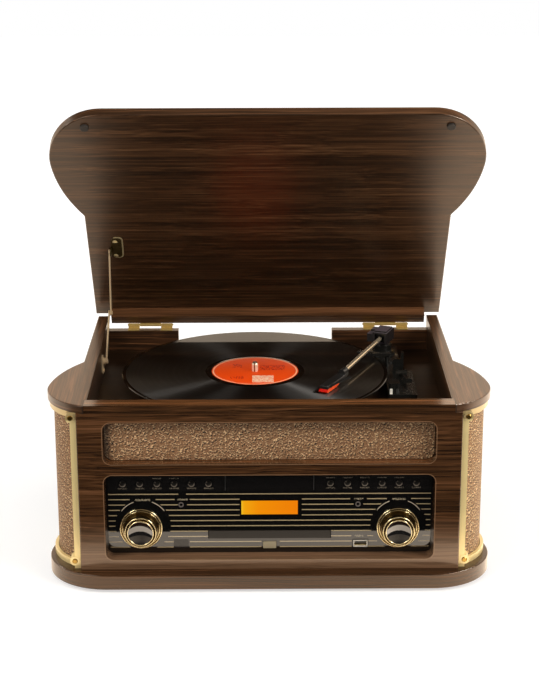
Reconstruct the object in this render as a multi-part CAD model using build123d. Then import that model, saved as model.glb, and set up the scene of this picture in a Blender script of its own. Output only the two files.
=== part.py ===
from build123d import *
import os
from math import acos, cos, radians, sin, sqrt

os.makedirs("parts", exist_ok=True)

# Tabletop record player with a radio and disc section, in millimetres.
# The origin is on the table under the middle of the case, +X to the right, +Y to the back, +Z up.
# It stands as photographed: the lid leans open on its folding stay and the stylus is over the record.

# Case
FOOT_HEIGHT = 4.0
PLINTH_THICKNESS = 16.1
PLINTH_TOP = FOOT_HEIGHT + PLINTH_THICKNESS
CASE_TOP = 205.7
CASE_HALF_WIDTH = 202.5
FRONT_Y = -154.5
REAR_Y = 171.5
FRONT_THICKNESS = 19.0
SIDE_THICKNESS = 10.5
REAR_THICKNESS = 11.0
WING_THICKNESS = 9.0
WING_BOTTOM = CASE_TOP - WING_THICKNESS
INNER_HALF_WIDTH = CASE_HALF_WIDTH - SIDE_THICKNESS
PANEL_BACK = FRONT_Y + FRONT_THICKNESS
REAR_INNER = REAR_Y - REAR_THICKNESS
REAR_WALL_TOP = 190.2
DECK_TOP = 165.2
DECK_THICKNESS = 8.0
DECK_BOTTOM = DECK_TOP - DECK_THICKNESS

# Lid, described shut and then turned open about its hinge pin
LID_OPEN_ANGLE = 56.9
HINGE_Y = 173.5
HINGE_Z = 193.9
LID_THICKNESS = 11.8
LID_UNDERSIDE = 208.5
RAIL_BOTTOM = 194.8
RAIL_BACK = 171.4
RAIL_DEPTH = 12.6
RAIL_HALF_LENGTH = 189.2

# Front openings and control plate
WINDOW_HALF_WIDTH = 175.0
WINDOW_BOTTOM, WINDOW_TOP = 30.8, 127.2
SPEAKER_BOTTOM, SPEAKER_TOP = 140.3, 186.2
WINDOW_CORNER = 8.5
PLATE_FRONT = -137.0
PLATE_BACK = -132.5
BOARD_FRONT, BOARD_BACK = -127.5, -126.0
BUTTON_COUNT = 12
BUTTON_PITCH = 18.35
BUTTON_INNER_X = 65.0
BUTTON_Z = 111.2
BUTTON_RADIUS = 3.45
BUTTON_TRAVEL = 1.2
KNOB_X = 138.0
KNOB_Z = 60.1
JACK_X = 94.7
JACK_Z = 87.2
USB_X, USB_Z = 97.8, 41.4
SENSOR_X, SENSOR_Z = -95.2, 41.8
TRAY_Z = 52.8
TRAY_BAR_WIDTH, TRAY_BAR_HEIGHT = 131.0, 9.0
EJECT_Z = 40.4

# Turntable
SPINDLE_X, SPINDLE_Y = -15.4, 24.5
RECORD_TOP = 184.2
RECORD_THICKNESS = 2.0
RECORD_BOTTOM = RECORD_TOP - RECORD_THICKNESS
RECORD_RADIUS = 150.8
LABEL_RADIUS = 50.0
PLATTER_RADIUS = 98.0
BELT_RING_RADIUS = 60.0
PULLEY_RADIUS = 5.5
MOTOR_DISTANCE = 75.0
MOTOR_BEARING = 200.0
SHAFT_CLEARANCE = 0.05

# Tonearm
ARM_X, ARM_Y, ARM_Z = 135.5, 118.0, 195.2
ARM_ANGLE = -22.5
TUBE_RADIUS = 2.6
TUBE_LENGTH = 131.3
TUBE_DROP = 2.2
HEADSHELL_OFFSET = -4.0
HEADSHELL_LENGTH = 55.5
BASE_TOP = 175.2

# Folding stay on the left, given as places in the plane of the side wall
STAY_WALL_Y, STAY_WALL_Z = 58.0, 185.5
STAY_ELBOW_Y, STAY_ELBOW_Z = 114.8, 226.5
STAY_LID_Y, STAY_LID_Z = 53.9, 204.5
STAY_LOWER_X = -187.0
STAY_UPPER_X = -184.9
LINK_THICKNESS = 1.6
LINK_HALF_WIDTH = 3.2


def box(x0, x1, y0, y1, z0, z1):
    return Pos((x0 + x1) / 2, (y0 + y1) / 2, (z0 + z1) / 2) * Box(x1 - x0, y1 - y0, z1 - z0)


def rod_x(y, z, x0, x1, radius):
    return Pos((x0 + x1) / 2, y, z) * Rot(0, 90, 0) * Cylinder(radius, x1 - x0)


def rod_y(x, z, y0, y1, radius):
    return Pos(x, (y0 + y1) / 2, z) * Rot(90, 0, 0) * Cylinder(radius, y1 - y0)


def rod_z(x, y, z0, z1, radius):
    return Pos(x, y, (z0 + z1) / 2) * Cylinder(radius, z1 - z0)


def upright_plate(x, z, width, height, corner, y0, y1):
    """A plate with rounded corners that faces the front, from y0 at its front to y1 at its back."""
    plane = Plane(origin=(x, y1, z), x_dir=(1, 0, 0), z_dir=(0, -1, 0))
    return extrude(plane * RectangleRounded(width, height, corner), y1 - y0)


def turned_z(profile):
    """A body turned about the Z axis from (radius, z) corners."""
    return revolve(make_face(Polyline([(r, 0, z) for r, z in profile], close=True)), Axis.Z)


def turned_y(profile):
    """A body turned about the Y axis from (radius, y) corners."""
    return revolve(make_face(Polyline([(r, y, 0) for r, y in profile], close=True)), Axis.Y)


def mirrored(shape):
    return mirror(shape, Plane.YZ)


def both_sides(shape):
    return shape + mirrored(shape)


def opened(shape):
    """The lid and what it carries, turned from shut to the photographed lean."""
    turn = Pos(0, HINGE_Y, HINGE_Z) * Rot(-LID_OPEN_ANGLE, 0, 0) * Pos(0, -HINGE_Y, -HINGE_Z)
    return turn * shape


def opened_point(y, z):
    angle = radians(LID_OPEN_ANGLE)
    dy, dz = y - HINGE_Y, z - HINGE_Z
    return HINGE_Y + dy * cos(angle) + dz * sin(angle), HINGE_Z - dy * sin(angle) + dz * cos(angle)


def arm_turned(shape):
    """Pieces of the tonearm, drawn about its pivot and pointing to the front, set at the played angle."""
    return Pos(ARM_X, ARM_Y, ARM_Z) * Rot(0, 0, ARM_ANGLE) * shape


def on_circle(centre, radius, angle):
    return centre[0] + radius * cos(angle), centre[1] + radius * sin(angle)


def ear_curve(start_x, centre, radius, past_angle, side):
    """The right-hand ear of a board: a round front corner, then a long sweep in to the straight side.

    The front arc runs past_angle degrees beyond its widest point, and the sweep leaves it there.
    """
    lead = acos((start_x - centre[0]) / radius)
    past = radians(past_angle)
    start = on_circle(centre, radius, -lead)
    end = on_circle(centre, radius, past)
    front = ThreePointArc(start, on_circle(centre, radius, (past - lead) / 2), end)
    sweep = TangentArc(end, side, tangent=(-sin(past), cos(past)))
    return start, [front, sweep]


def tight_ear_curve(corner_radius, centre, radius, past_angle, side):
    """An ear whose front corner is tighter than its flank: two tangent arcs that meet at 45 degrees."""
    meet = on_circle(centre, radius, radians(-45))
    corner_centre = on_circle(meet, corner_radius, radians(135))
    start = on_circle(corner_centre, corner_radius, radians(-90))
    bend = on_circle(corner_centre, corner_radius, radians(-67.5))
    past = radians(past_angle)
    end = on_circle(centre, radius, past)
    corner = ThreePointArc(start, bend, meet)
    flank = ThreePointArc(meet, on_circle(centre, radius, (past - radians(45)) / 2), end)
    sweep = TangentArc(end, side, tangent=(-sin(past), cos(past)))
    return start, [corner, flank, sweep]


def eared_face(ear, side, rear_corner, inner_x, fillet_radius=7.0):
    """Half of an eared board, on the right of inner_x, as a flat face, from the outline of its ear."""
    start, curves = ear
    rear_y = rear_corner[1]
    edges = curves + [
        Line(side, rear_corner),
        Line(rear_corner, (inner_x, rear_y)),
        Line((inner_x, rear_y), (inner_x, start[1])),
    ]
    if inner_x != start[0]:
        edges.append(Line((inner_x, start[1]), start))
    face = make_face(edges)
    kink = [v for v in face.vertices() if abs(v.X - side[0]) < 0.01 and abs(v.Y - side[1]) < 0.01]
    return fillet(kink, fillet_radius)


def slab(face, z0, z1):
    return extrude(Pos(0, 0, z0) * face, z1 - z0)


# Case boards

PLINTH_EAR_CENTRE = (173.3, -105.4)
PLINTH_EAR_RADIUS = 66.0
PLINTH_SIDE = (206.5, -12.0)
PLINTH_REAR = (206.5, 173.5)
EAR_PAST_ANGLE = 10.0


def plinth():
    ear = ear_curve(
        PLINTH_EAR_CENTRE[0], PLINTH_EAR_CENTRE, PLINTH_EAR_RADIUS, EAR_PAST_ANGLE, PLINTH_SIDE
    )
    half = slab(eared_face(ear, PLINTH_SIDE, PLINTH_REAR, 0), FOOT_HEIGHT, PLINTH_TOP)
    board = both_sides(half)
    rims = board.edges().filter_by(lambda e: e.center().Z > PLINTH_TOP - 0.01)
    return fillet(rims, 1.2)


def rubber_feet():
    foot = turned_z([(0, 0), (10, 0), (11, FOOT_HEIGHT), (0, FOOT_HEIGHT)])
    places = [(x, y) for x in (-185, 185) for y in (-130, 150)]
    return Compound([Pos(x, y, 0) * foot for x, y in places])


NOTCH_X = 194.2


def front_panel():
    """Front board with a speaker slot over a control window; its top corners are cut for the wings."""
    panel = box(-CASE_HALF_WIDTH, CASE_HALF_WIDTH, FRONT_Y, PANEL_BACK, PLINTH_TOP, CASE_TOP)
    corner = box(NOTCH_X, CASE_HALF_WIDTH + 1, FRONT_Y - 1, PANEL_BACK + 1, WING_BOTTOM, CASE_TOP + 1)
    panel -= both_sides(corner)
    for low, high in ((SPEAKER_BOTTOM, SPEAKER_TOP), (WINDOW_BOTTOM, WINDOW_TOP)):
        panel -= upright_plate(
            0, (low + high) / 2, 2 * WINDOW_HALF_WIDTH, high - low, WINDOW_CORNER, FRONT_Y - 1, PANEL_BACK + 1
        )
    uprights = panel.edges().filter_by(Axis.Z)
    front_corners = uprights.filter_by(lambda e: abs(e.center().X) > 201 and e.center().Y < FRONT_Y + 1)
    return fillet(front_corners, 1.6)


DRIVER_Y, DRIVER_Z = -75.0, 110.0
DRIVER_HOLE_RADIUS = 22.0


def side_wall_right():
    wall = box(INNER_HALF_WIDTH, CASE_HALF_WIDTH, PANEL_BACK, REAR_Y, PLINTH_TOP, WING_BOTTOM)
    return wall - rod_x(DRIVER_Y, DRIVER_Z, INNER_HALF_WIDTH - 1, CASE_HALF_WIDTH + 1, DRIVER_HOLE_RADIUS)


# The rear wall is cut low behind the turntable, because a long-play record reaches over it
RECORD_NOTCH_HALF = 92.6
RECORD_NOTCH_BOTTOM = 172.0
SOCKET_PLATE_X, SOCKET_PLATE_Z = 118.0, 62.0
SOCKET_PLATE_WIDTH, SOCKET_PLATE_HEIGHT = 92.0, 46.0
VENT_COUNT = 9


def rear_wall():
    wall = box(-INNER_HALF_WIDTH, INNER_HALF_WIDTH, REAR_INNER, REAR_Y, PLINTH_TOP, REAR_WALL_TOP)
    wall -= box(
        SPINDLE_X - RECORD_NOTCH_HALF, SPINDLE_X + RECORD_NOTCH_HALF,
        REAR_INNER - 1, REAR_Y + 1, RECORD_NOTCH_BOTTOM, REAR_WALL_TOP + 1,
    )
    wall -= box(
        SOCKET_PLATE_X - SOCKET_PLATE_WIDTH / 2 + 8, SOCKET_PLATE_X + SOCKET_PLATE_WIDTH / 2 - 8,
        REAR_INNER - 1, REAR_Y + 1, SOCKET_PLATE_Z - 15, SOCKET_PLATE_Z + 15,
    )
    for i in range(VENT_COUNT):
        z = 60 + 8 * i
        wall -= box(-125, -35, REAR_INNER - 1, REAR_Y + 1, z, z + 3.2)
    return wall


WING_EAR_CENTRE = (170.8, -92.3)
WING_EAR_RADIUS = 66.7
WING_PAST_ANGLE = 6.2
WING_SIDE = (206.4, -5.7)
WING_REAR = (204.9, REAR_Y)


def wing_right():
    """Top board of the right side: it runs from the front ear back to the rear wall."""
    ear = ear_curve(NOTCH_X, WING_EAR_CENTRE, WING_EAR_RADIUS, WING_PAST_ANGLE, WING_SIDE)
    face = eared_face(ear, WING_SIDE, WING_REAR, NOTCH_X)
    board = slab(face, WING_BOTTOM, CASE_TOP)
    board += box(INNER_HALF_WIDTH, NOTCH_X, PANEL_BACK, REAR_Y, WING_BOTTOM, CASE_TOP)
    curved_rims = board.edges().filter_by(
        lambda e: e.center().Z > CASE_TOP - 0.01 and e.center().X > 204 and e.center().Y < REAR_Y - 1
    )
    return fillet(curved_rims, 1.0)


# Curved speaker corners: a slotted former, cloth over it and a cast frame round the cloth

CORNER_CENTRE = (171.5, -93.5)
FRAME_RADIUS = 64.0
CLOTH_RADIUS = 60.2
CLOTH_THICKNESS = 1.4
FORMER_RADIUS = 58.8
FORMER_THICKNESS = 4.8
CORNER_REAR_Y = -6.0
REAR_SLOPE = 1.84
FRAME_GAP = 0.2
BAND_HEIGHT = 7.0
BAR_OUTER_X = 209.1
BAR_FRONT = -151.4
LOBE_X = 208.6
LOBE_RADIUS = 5.2
LOBE_LOW_Z = PLINTH_TOP + 8.6
LOBE_HIGH_Z = WING_BOTTOM - 5.4
SCREW_HOLE = 1.4


def corner_region(radius):
    """The plan of a speaker corner out to one radius, outside the right-hand case wall."""
    rear_y = CORNER_REAR_Y - REAR_SLOPE * (FRAME_RADIUS - radius)
    side = (CASE_HALF_WIDTH, rear_y)
    start, curves = ear_curve(CASE_HALF_WIDTH, CORNER_CENTRE, radius, EAR_PAST_ANGLE, side)
    return make_face(curves + [Line(side, start)])


def corner_shell(outer, inner, z0, z1):
    return slab(corner_region(outer), z0, z1) - slab(corner_region(inner), z0 - 1, z1 + 1)


def corner_former():
    shell = corner_shell(FORMER_RADIUS, FORMER_RADIUS - FORMER_THICKNESS, PLINTH_TOP, WING_BOTTOM)
    for i in range(4):
        z = PLINTH_TOP + 24 + 34 * i
        shell -= box(CASE_HALF_WIDTH + 12, 245, -122, -48, z, z + 24)
    return shell


def corner_cloth():
    return corner_shell(CLOTH_RADIUS, CLOTH_RADIUS - CLOTH_THICKNESS, PLINTH_TOP + 0.4, WING_BOTTOM - 0.4)


def brass_frame():
    """Cast frame of a speaker corner: two curved bands, a front bar, a rear bar and screw lobes."""
    ring = corner_shell(FRAME_RADIUS, CLOTH_RADIUS + FRAME_GAP, PLINTH_TOP, WING_BOTTOM)
    opening = box(
        CASE_HALF_WIDTH - 1, 250, -152, -26, PLINTH_TOP + BAND_HEIGHT, WING_BOTTOM - BAND_HEIGHT
    )
    frame = ring - opening
    bar = box(CASE_HALF_WIDTH + 0.1, BAR_OUTER_X, BAR_FRONT, -138, PLINTH_TOP, WING_BOTTOM)
    for z in (LOBE_LOW_Z, LOBE_HIGH_Z):
        bar += rod_y(LOBE_X, z, BAR_FRONT - 0.8, -138, LOBE_RADIUS) - box(
            CASE_HALF_WIDTH - 20, CASE_HALF_WIDTH + 0.1, -160, -130, z - 9, z + 9
        )
    core = slab(Pos(*CORNER_CENTRE) * Circle(CLOTH_RADIUS + FRAME_GAP), 0, CASE_TOP)
    frame += bar - core
    for z in (LOBE_LOW_Z, LOBE_HIGH_Z):
        frame -= rod_y(LOBE_X, z, -170, -130, SCREW_HOLE)
    return frame


def frame_screw():
    """Round-head screw, head to the front, with its seat at the origin."""
    return turned_y([(0, 9.5), (1.3, 9.5), (1.3, 0), (3.0, 0), (2.2, -1.4), (0, -1.4)])


def frame_screws():
    seat = BAR_FRONT - 0.8
    places = [(x, z) for x in (-LOBE_X, LOBE_X) for z in (LOBE_LOW_Z, LOBE_HIGH_Z)]
    return Compound([Pos(x, seat, z) * frame_screw() for x, z in places])


SPEAKER_CLOTH_FRONT = -142.8
SPEAKER_BOARD_FRONT = -141.5
SLOT_MARGIN = 0.4


def speaker_slot_plate(y0, y1):
    width = 2 * (WINDOW_HALF_WIDTH - SLOT_MARGIN)
    height = SPEAKER_TOP - SPEAKER_BOTTOM - 2 * SLOT_MARGIN
    return upright_plate(0, (SPEAKER_TOP + SPEAKER_BOTTOM) / 2, width, height, 8, y0, y1)


def speaker_board():
    board = speaker_slot_plate(SPEAKER_BOARD_FRONT, PANEL_BACK)
    for i in range(-3, 4):
        x = 44 * i
        board -= box(x - 18, x + 18, SPEAKER_BOARD_FRONT - 1, PANEL_BACK + 1, DECK_BOTTOM - 12, DECK_BOTTOM - 2)
    return board


def speaker_baffles():
    former = corner_former()
    return Compound([former, mirrored(former), speaker_board()])


def speaker_driver():
    """Small driver that fires outwards through the right-hand side wall."""
    body = turned_z([(0, 0), (16, 0), (16, 12), (30, 33), (21, 33), (0, 24)])
    return Pos(INNER_HALF_WIDTH - 33, DRIVER_Y, DRIVER_Z) * Rot(0, 90, 0) * body


# Control plate, its windows and sockets


def button_places():
    """Six buttons on each side of the bare centre plate."""
    half = BUTTON_COUNT // 2
    right = [BUTTON_INNER_X + BUTTON_PITCH * i for i in range(half)]
    return [-x for x in reversed(right)] + right


def fascia():
    """Gloss plate that stands in the control window, with a flange behind the board."""
    plate = upright_plate(0, 79.8, 345, 89.2, 6.5, PLATE_FRONT, PANEL_BACK)
    plate += upright_plate(0, 79, 362, 107, 3, PANEL_BACK, PLATE_BACK)
    plate += upright_plate(0, 111.2, 93.4, 15, 1, PLATE_FRONT - 0.7, PANEL_BACK)
    for x in button_places():
        plate -= rod_y(x, BUTTON_Z, -140, -130, BUTTON_RADIUS + 0.25)
    for x in (-KNOB_X, KNOB_X):
        plate -= rod_y(x, KNOB_Z, -140, -130, 5.0)
    for x in (-JACK_X, JACK_X):
        plate -= rod_y(x, JACK_Z, -140, -130, 3.0)
    plate -= box(-66.2, 66.2, -140, -130, TRAY_Z - 5.0, TRAY_Z + 5.0)
    plate -= box(-7.4, 7.4, -140, -130, EJECT_Z - 4.2, EJECT_Z + 4.2)
    plate -= box(USB_X - 8.5, USB_X + 8.5, -140, -130, USB_Z - 5.3, USB_Z + 5.3)
    plate -= box(SENSOR_X - 8.2, SENSOR_X + 8.2, -140, PLATE_FRONT + 1, SENSOR_Z - 5.1, SENSOR_Z + 5.1)
    plate -= box(-30.4, 30.4, -140, PLATE_FRONT + 1, 75.4, 91.4)
    for x in (-165, 165):
        for z in (32, 122):
            plate += box(x - 3, x + 3, PLATE_BACK - 1, BOARD_FRONT, z - 3, z + 3)
    return plate


def display_windows():
    """Lit display window over the tray and the dark receiver window beside it."""
    display = box(-30.2, 30.2, PLATE_FRONT + 0.1, PLATE_FRONT + 1, 75.6, 91.2)
    sensor = box(SENSOR_X - 8, SENSOR_X + 8, PLATE_FRONT + 0.1, PLATE_FRONT + 1, SENSOR_Z - 4.9, SENSOR_Z + 4.9)
    return Compound([display, sensor])


def audio_jack(x):
    jack = rod_y(x, JACK_Z, PLATE_FRONT - 0.6, BOARD_FRONT, 2.85)
    jack += box(x - 4.5, x + 4.5, PLATE_BACK + 0.1, BOARD_FRONT, JACK_Z - 4.5, JACK_Z + 4.5)
    return jack - rod_y(x, JACK_Z, PLATE_FRONT - 1, BOARD_FRONT - 1.5, 1.8)


def usb_socket():
    """Bezel, thin metal shell and the contact tongue inside it."""
    socket = box(USB_X - 8.3, USB_X + 8.3, PLATE_FRONT - 0.3, BOARD_FRONT, USB_Z - 5.1, USB_Z + 5.1)
    socket -= box(USB_X - 6.6, USB_X + 6.6, PLATE_FRONT - 1, BOARD_FRONT - 1, USB_Z - 2.7, USB_Z + 2.7)
    return socket + box(USB_X - 5.6, USB_X + 5.6, PLATE_FRONT + 1, BOARD_FRONT - 0.5, USB_Z + 0.1, USB_Z + 1.9)


def rear_socket_plate():
    """Plate on the rear wall with two line sockets and a small power inlet, no cord."""
    half_width, half_height = SOCKET_PLATE_WIDTH / 2, SOCKET_PLATE_HEIGHT / 2
    plate = box(
        SOCKET_PLATE_X - half_width, SOCKET_PLATE_X + half_width, REAR_Y, REAR_Y + 2,
        SOCKET_PLATE_Z - half_height, SOCKET_PLATE_Z + half_height,
    )
    for x in (SOCKET_PLATE_X - 26, SOCKET_PLATE_X - 10):
        plate += rod_y(x, SOCKET_PLATE_Z, REAR_Y + 2, REAR_Y + 9, 4.2)
        plate -= rod_y(x, SOCKET_PLATE_Z, REAR_Y + 1, REAR_Y + 10, 1.7)
    inlet_x = SOCKET_PLATE_X + 24
    plate += box(inlet_x - 5.5, inlet_x + 5.5, REAR_Y - 10, REAR_Y + 3, SOCKET_PLATE_Z - 5.5, SOCKET_PLATE_Z + 5.5)
    plate -= rod_y(inlet_x, SOCKET_PLATE_Z, REAR_Y - 7, REAR_Y + 4, 2.9)
    return plate + rod_y(inlet_x, SOCKET_PLATE_Z, REAR_Y - 8, REAR_Y + 1, 1.0)


def sockets():
    return Compound([audio_jack(-JACK_X), audio_jack(JACK_X), usb_socket(), rear_socket_plate()])


KNOB_SHAFT_RADIUS = 3.0
POT_BACK = -117.0


def control_board():
    """Circuit board behind the plate: push switches, the two rotary controls and a slot for the tray."""
    board = box(-178, 178, BOARD_FRONT, BOARD_BACK, 28, 128)
    board -= box(-70, 70, BOARD_FRONT - 1, BOARD_BACK + 1, TRAY_Z - 6.5, TRAY_Z + 6.5)
    for x in button_places():
        board += box(x - 3, x + 3, BOARD_FRONT - 2.2, BOARD_FRONT, BUTTON_Z - 3, BUTTON_Z + 3)
    board += box(-4, 4, BOARD_FRONT - 2.2, BOARD_FRONT, EJECT_Z - 3, EJECT_Z + 3)
    for x in (-KNOB_X, KNOB_X):
        board += rod_y(x, KNOB_Z, PLATE_BACK + 0.5, BOARD_FRONT, 4.6)
        board += box(x - 8.5, x + 8.5, BOARD_BACK, POT_BACK, KNOB_Z - 8.5, KNOB_Z + 8.5)
        board -= rod_y(x, KNOB_Z, PLATE_BACK - 1, POT_BACK - 1, KNOB_SHAFT_RADIUS + SHAFT_CLEARANCE)
    return board


def round_button():
    """Push button with a domed face and a square retaining collar, with the plate's face at y = 0."""
    button = turned_y([(0, -1.7), (BUTTON_RADIUS, -0.7), (BUTTON_RADIUS, 5.0), (0, 5.0)])
    return button + box(-4.6, 4.6, 5.0, 6.0, -4.6, 4.6)


def eject_button():
    cap = upright_plate(0, EJECT_Z, 14.2, 7.8, 1.0, PLATE_FRONT - 0.8, PLATE_BACK + 0.3)
    return cap + box(-8.4, 8.4, PLATE_BACK + 0.3, PLATE_BACK + 1.4, EJECT_Z - 4.9, EJECT_Z + 4.9)


def knob():
    """Stepped knob: wide bright flange, grooved cone, rim and a dished cap, on its shaft."""
    y = PLATE_FRONT - 0.3
    profile = [
        (0, POT_BACK - 2.5), (KNOB_SHAFT_RADIUS, POT_BACK - 2.5), (KNOB_SHAFT_RADIUS, y), (22.3, y),
        (22.3, y - 2.0), (21.3, y - 3.0), (18.4, y - 2.2), (17.3, y - 12.4), (16.0, y - 13.6),
        (14.4, y - 12.8), (13.6, y - 15.6), (12.7, y - 15.2), (0, y - 15.2),
    ]
    return turned_y(profile)


# Disc tray and its drive

TRAY_FRONT = PLATE_FRONT - 1.2
TRAY_DEPTH = 175.0
DISC_Y = -70.0


def cd_tray():
    """Drawer with a front bar, stepped disc recess and the open slot for the disc motor."""
    tray = box(-62, 62, PLATE_BACK - 2, PLATE_BACK + TRAY_DEPTH, TRAY_Z - 3.0, TRAY_Z + 2.6)
    tray -= rod_z(0, DISC_Y, TRAY_Z + 1.0, TRAY_Z + 4, 60.5)
    tray -= rod_z(0, DISC_Y, TRAY_Z - 0.2, TRAY_Z + 4, 41.0)
    slot = rod_z(0, DISC_Y, TRAY_Z - 5, TRAY_Z + 4, 17.0)
    slot += box(-17, 17, DISC_Y, DISC_Y + 50, TRAY_Z - 5, TRAY_Z + 4)
    tray -= slot
    bar = upright_plate(0, TRAY_Z, TRAY_BAR_WIDTH, TRAY_BAR_HEIGHT, 0.8, TRAY_FRONT, PLATE_BACK - 1.5)
    return tray + bar


def cd_mechanism():
    """Housing that the tray runs in, on four posts from the plinth."""
    front, back = BOARD_BACK + 1.5, 55.0
    body = box(-74, 74, front, back, TRAY_Z - 8, TRAY_Z + 9)
    body -= box(-62.6, 62.6, front - 1, back - 5, TRAY_Z - 3.5, TRAY_Z + 4.5)
    for x in (-66, 66):
        for y in (front + 8, back - 8):
            body += box(x - 4, x + 4, y - 4, y + 4, PLINTH_TOP, TRAY_Z - 7)
    return body


# Turntable

def motor_place():
    angle = radians(MOTOR_BEARING)
    return SPINDLE_X + MOTOR_DISTANCE * cos(angle), SPINDLE_Y + MOTOR_DISTANCE * sin(angle)


SPINDLE_SHAFT_RADIUS = 5.0
MOTOR_SHAFT_RADIUS = 1.5
BEARING_BOTTOM = 148.0


def deck():
    """Turntable deck with the spindle bearing below it and a hole for the motor pulley."""
    board = box(-INNER_HALF_WIDTH, INNER_HALF_WIDTH, PANEL_BACK, REAR_INNER, DECK_BOTTOM, DECK_TOP)
    board += rod_z(SPINDLE_X, SPINDLE_Y, BEARING_BOTTOM, DECK_BOTTOM, 11)
    board -= rod_z(
        SPINDLE_X, SPINDLE_Y, BEARING_BOTTOM - 1, DECK_TOP + 1, SPINDLE_SHAFT_RADIUS + SHAFT_CLEARANCE
    )
    mx, my = motor_place()
    return board - rod_z(mx, my, DECK_BOTTOM - 1, DECK_TOP + 1, 9)


def platter():
    """Pressed platter with a skirt, a belt ring and a hub on its shaft, and the centre spindle."""
    top = RECORD_BOTTOM
    under = top - 3.5
    skirt = under - 10
    profile = [
        (0, BEARING_BOTTOM), (SPINDLE_SHAFT_RADIUS, BEARING_BOTTOM), (SPINDLE_SHAFT_RADIUS, DECK_TOP + 0.4),
        (12, DECK_TOP + 0.4), (12, under), (BELT_RING_RADIUS - 3, under), (BELT_RING_RADIUS - 3, skirt),
        (BELT_RING_RADIUS, skirt), (BELT_RING_RADIUS, under), (PLATTER_RADIUS - 2.5, under),
        (PLATTER_RADIUS - 2.5, skirt), (PLATTER_RADIUS, skirt), (PLATTER_RADIUS, top - 1),
        (PLATTER_RADIUS - 1, top), (3.55, top), (3.55, RECORD_TOP + 8.0), (2.4, RECORD_TOP + 10.6),
        (0, RECORD_TOP + 11.1),
    ]
    return Pos(SPINDLE_X, SPINDLE_Y, 0) * turned_z(profile)


def record():
    """Long-play record: raised label land, sunk playing field and a rounded rim bead."""
    field = RECORD_TOP - 0.25
    profile = [
        (3.62, RECORD_BOTTOM), (RECORD_RADIUS - 0.6, RECORD_BOTTOM), (RECORD_RADIUS, RECORD_BOTTOM + 0.6),
        (RECORD_RADIUS, RECORD_TOP - 0.6), (RECORD_RADIUS - 0.6, RECORD_TOP - 0.1),
        (146.5, field), (LABEL_RADIUS + 1.5, field), (LABEL_RADIUS, RECORD_TOP),
        (3.62, RECORD_TOP),
    ]
    return Pos(SPINDLE_X, SPINDLE_Y, 0) * turned_z(profile)


def motor():
    """Drive motor hung under the deck by its flange."""
    mx, my = motor_place()
    can = rod_z(mx, my, DECK_BOTTOM - 24, DECK_BOTTOM - 1.5, 16)
    can += box(mx - 23, mx + 23, my - 9, my + 9, DECK_BOTTOM - 1.5, DECK_BOTTOM)
    return can - rod_z(mx, my, DECK_BOTTOM - 20, DECK_BOTTOM + 1, MOTOR_SHAFT_RADIUS + SHAFT_CLEARANCE)


BELT_LOW, BELT_HIGH = 170.6, 174.6


def motor_pulley():
    mx, my = motor_place()
    shaft = rod_z(mx, my, DECK_BOTTOM - 19, BELT_HIGH + 1, MOTOR_SHAFT_RADIUS)
    wheel = turned_z([
        (0, BELT_LOW - 2), (7, BELT_LOW - 2), (PULLEY_RADIUS, BELT_LOW - 0.8),
        (PULLEY_RADIUS, BELT_HIGH + 0.8), (7, BELT_HIGH + 2), (0, BELT_HIGH + 2),
    ])
    return shaft + Pos(mx, my, 0) * wheel


def belt_face(gap):
    """Outline of a belt that runs at one gap outside the platter ring and the motor pulley."""
    mx, my = motor_place()
    ring = Pos(SPINDLE_X, SPINDLE_Y) * Circle(BELT_RING_RADIUS + gap)
    wheel = Pos(mx, my) * Circle(PULLEY_RADIUS + gap)
    return make_hull(ring.edges() + wheel.edges())


def drive_belt():
    return slab(belt_face(1.1), BELT_LOW, BELT_HIGH) - slab(belt_face(0.3), BELT_LOW - 1, BELT_HIGH + 1)


# Tonearm

SWITCH_Y = -30.0
SPEED_SWITCH_X = 136.0
STOP_SWITCH_X = 143.0
SWITCH_TRAVEL = 6.0
REST_X, REST_Y = 148.5, 46.0
CUE_X, CUE_Y, CUE_Z = 151.0, 24.0, 181.0
CUE_PIN_RADIUS = 1.5
TOWER_TOP = 186.4
ARM_POST_RADIUS = 4.0


def lift_bar():
    """Curved bar that stands under the tube and follows its swing, on a post from the base."""
    reach, half_width, low, high = 48.0, 3.5, 187.2, 190.0
    ring = rod_z(ARM_X, ARM_Y, low, high, reach + half_width) - rod_z(
        ARM_X, ARM_Y, low - 1, high + 1, reach - half_width
    )
    wedge = make_face(Polyline(
        [(ARM_X, ARM_Y), (ARM_X + 8, ARM_Y - 70), (ARM_X - 56, ARM_Y - 70)], close=True
    ))
    bar = ring & slab(wedge, low, high)
    return bar + rod_z(ARM_X + 2.0, ARM_Y - reach, BASE_TOP - 1, low + 0.5, 2.5)


def arm_rest():
    """Saddle for the parked tube with a high clip on its outer side."""
    saddle_top = ARM_Z - TUBE_DROP * (ARM_Y - REST_Y) / TUBE_LENGTH - TUBE_RADIUS - 0.4
    rest = box(REST_X - 5.5, REST_X + 6.5, REST_Y - 3, REST_Y + 3, BASE_TOP - 1, saddle_top)
    return rest + box(REST_X + 3.7, REST_X + 6.5, REST_Y - 3, REST_Y + 3, saddle_top, saddle_top + 8)


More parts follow.
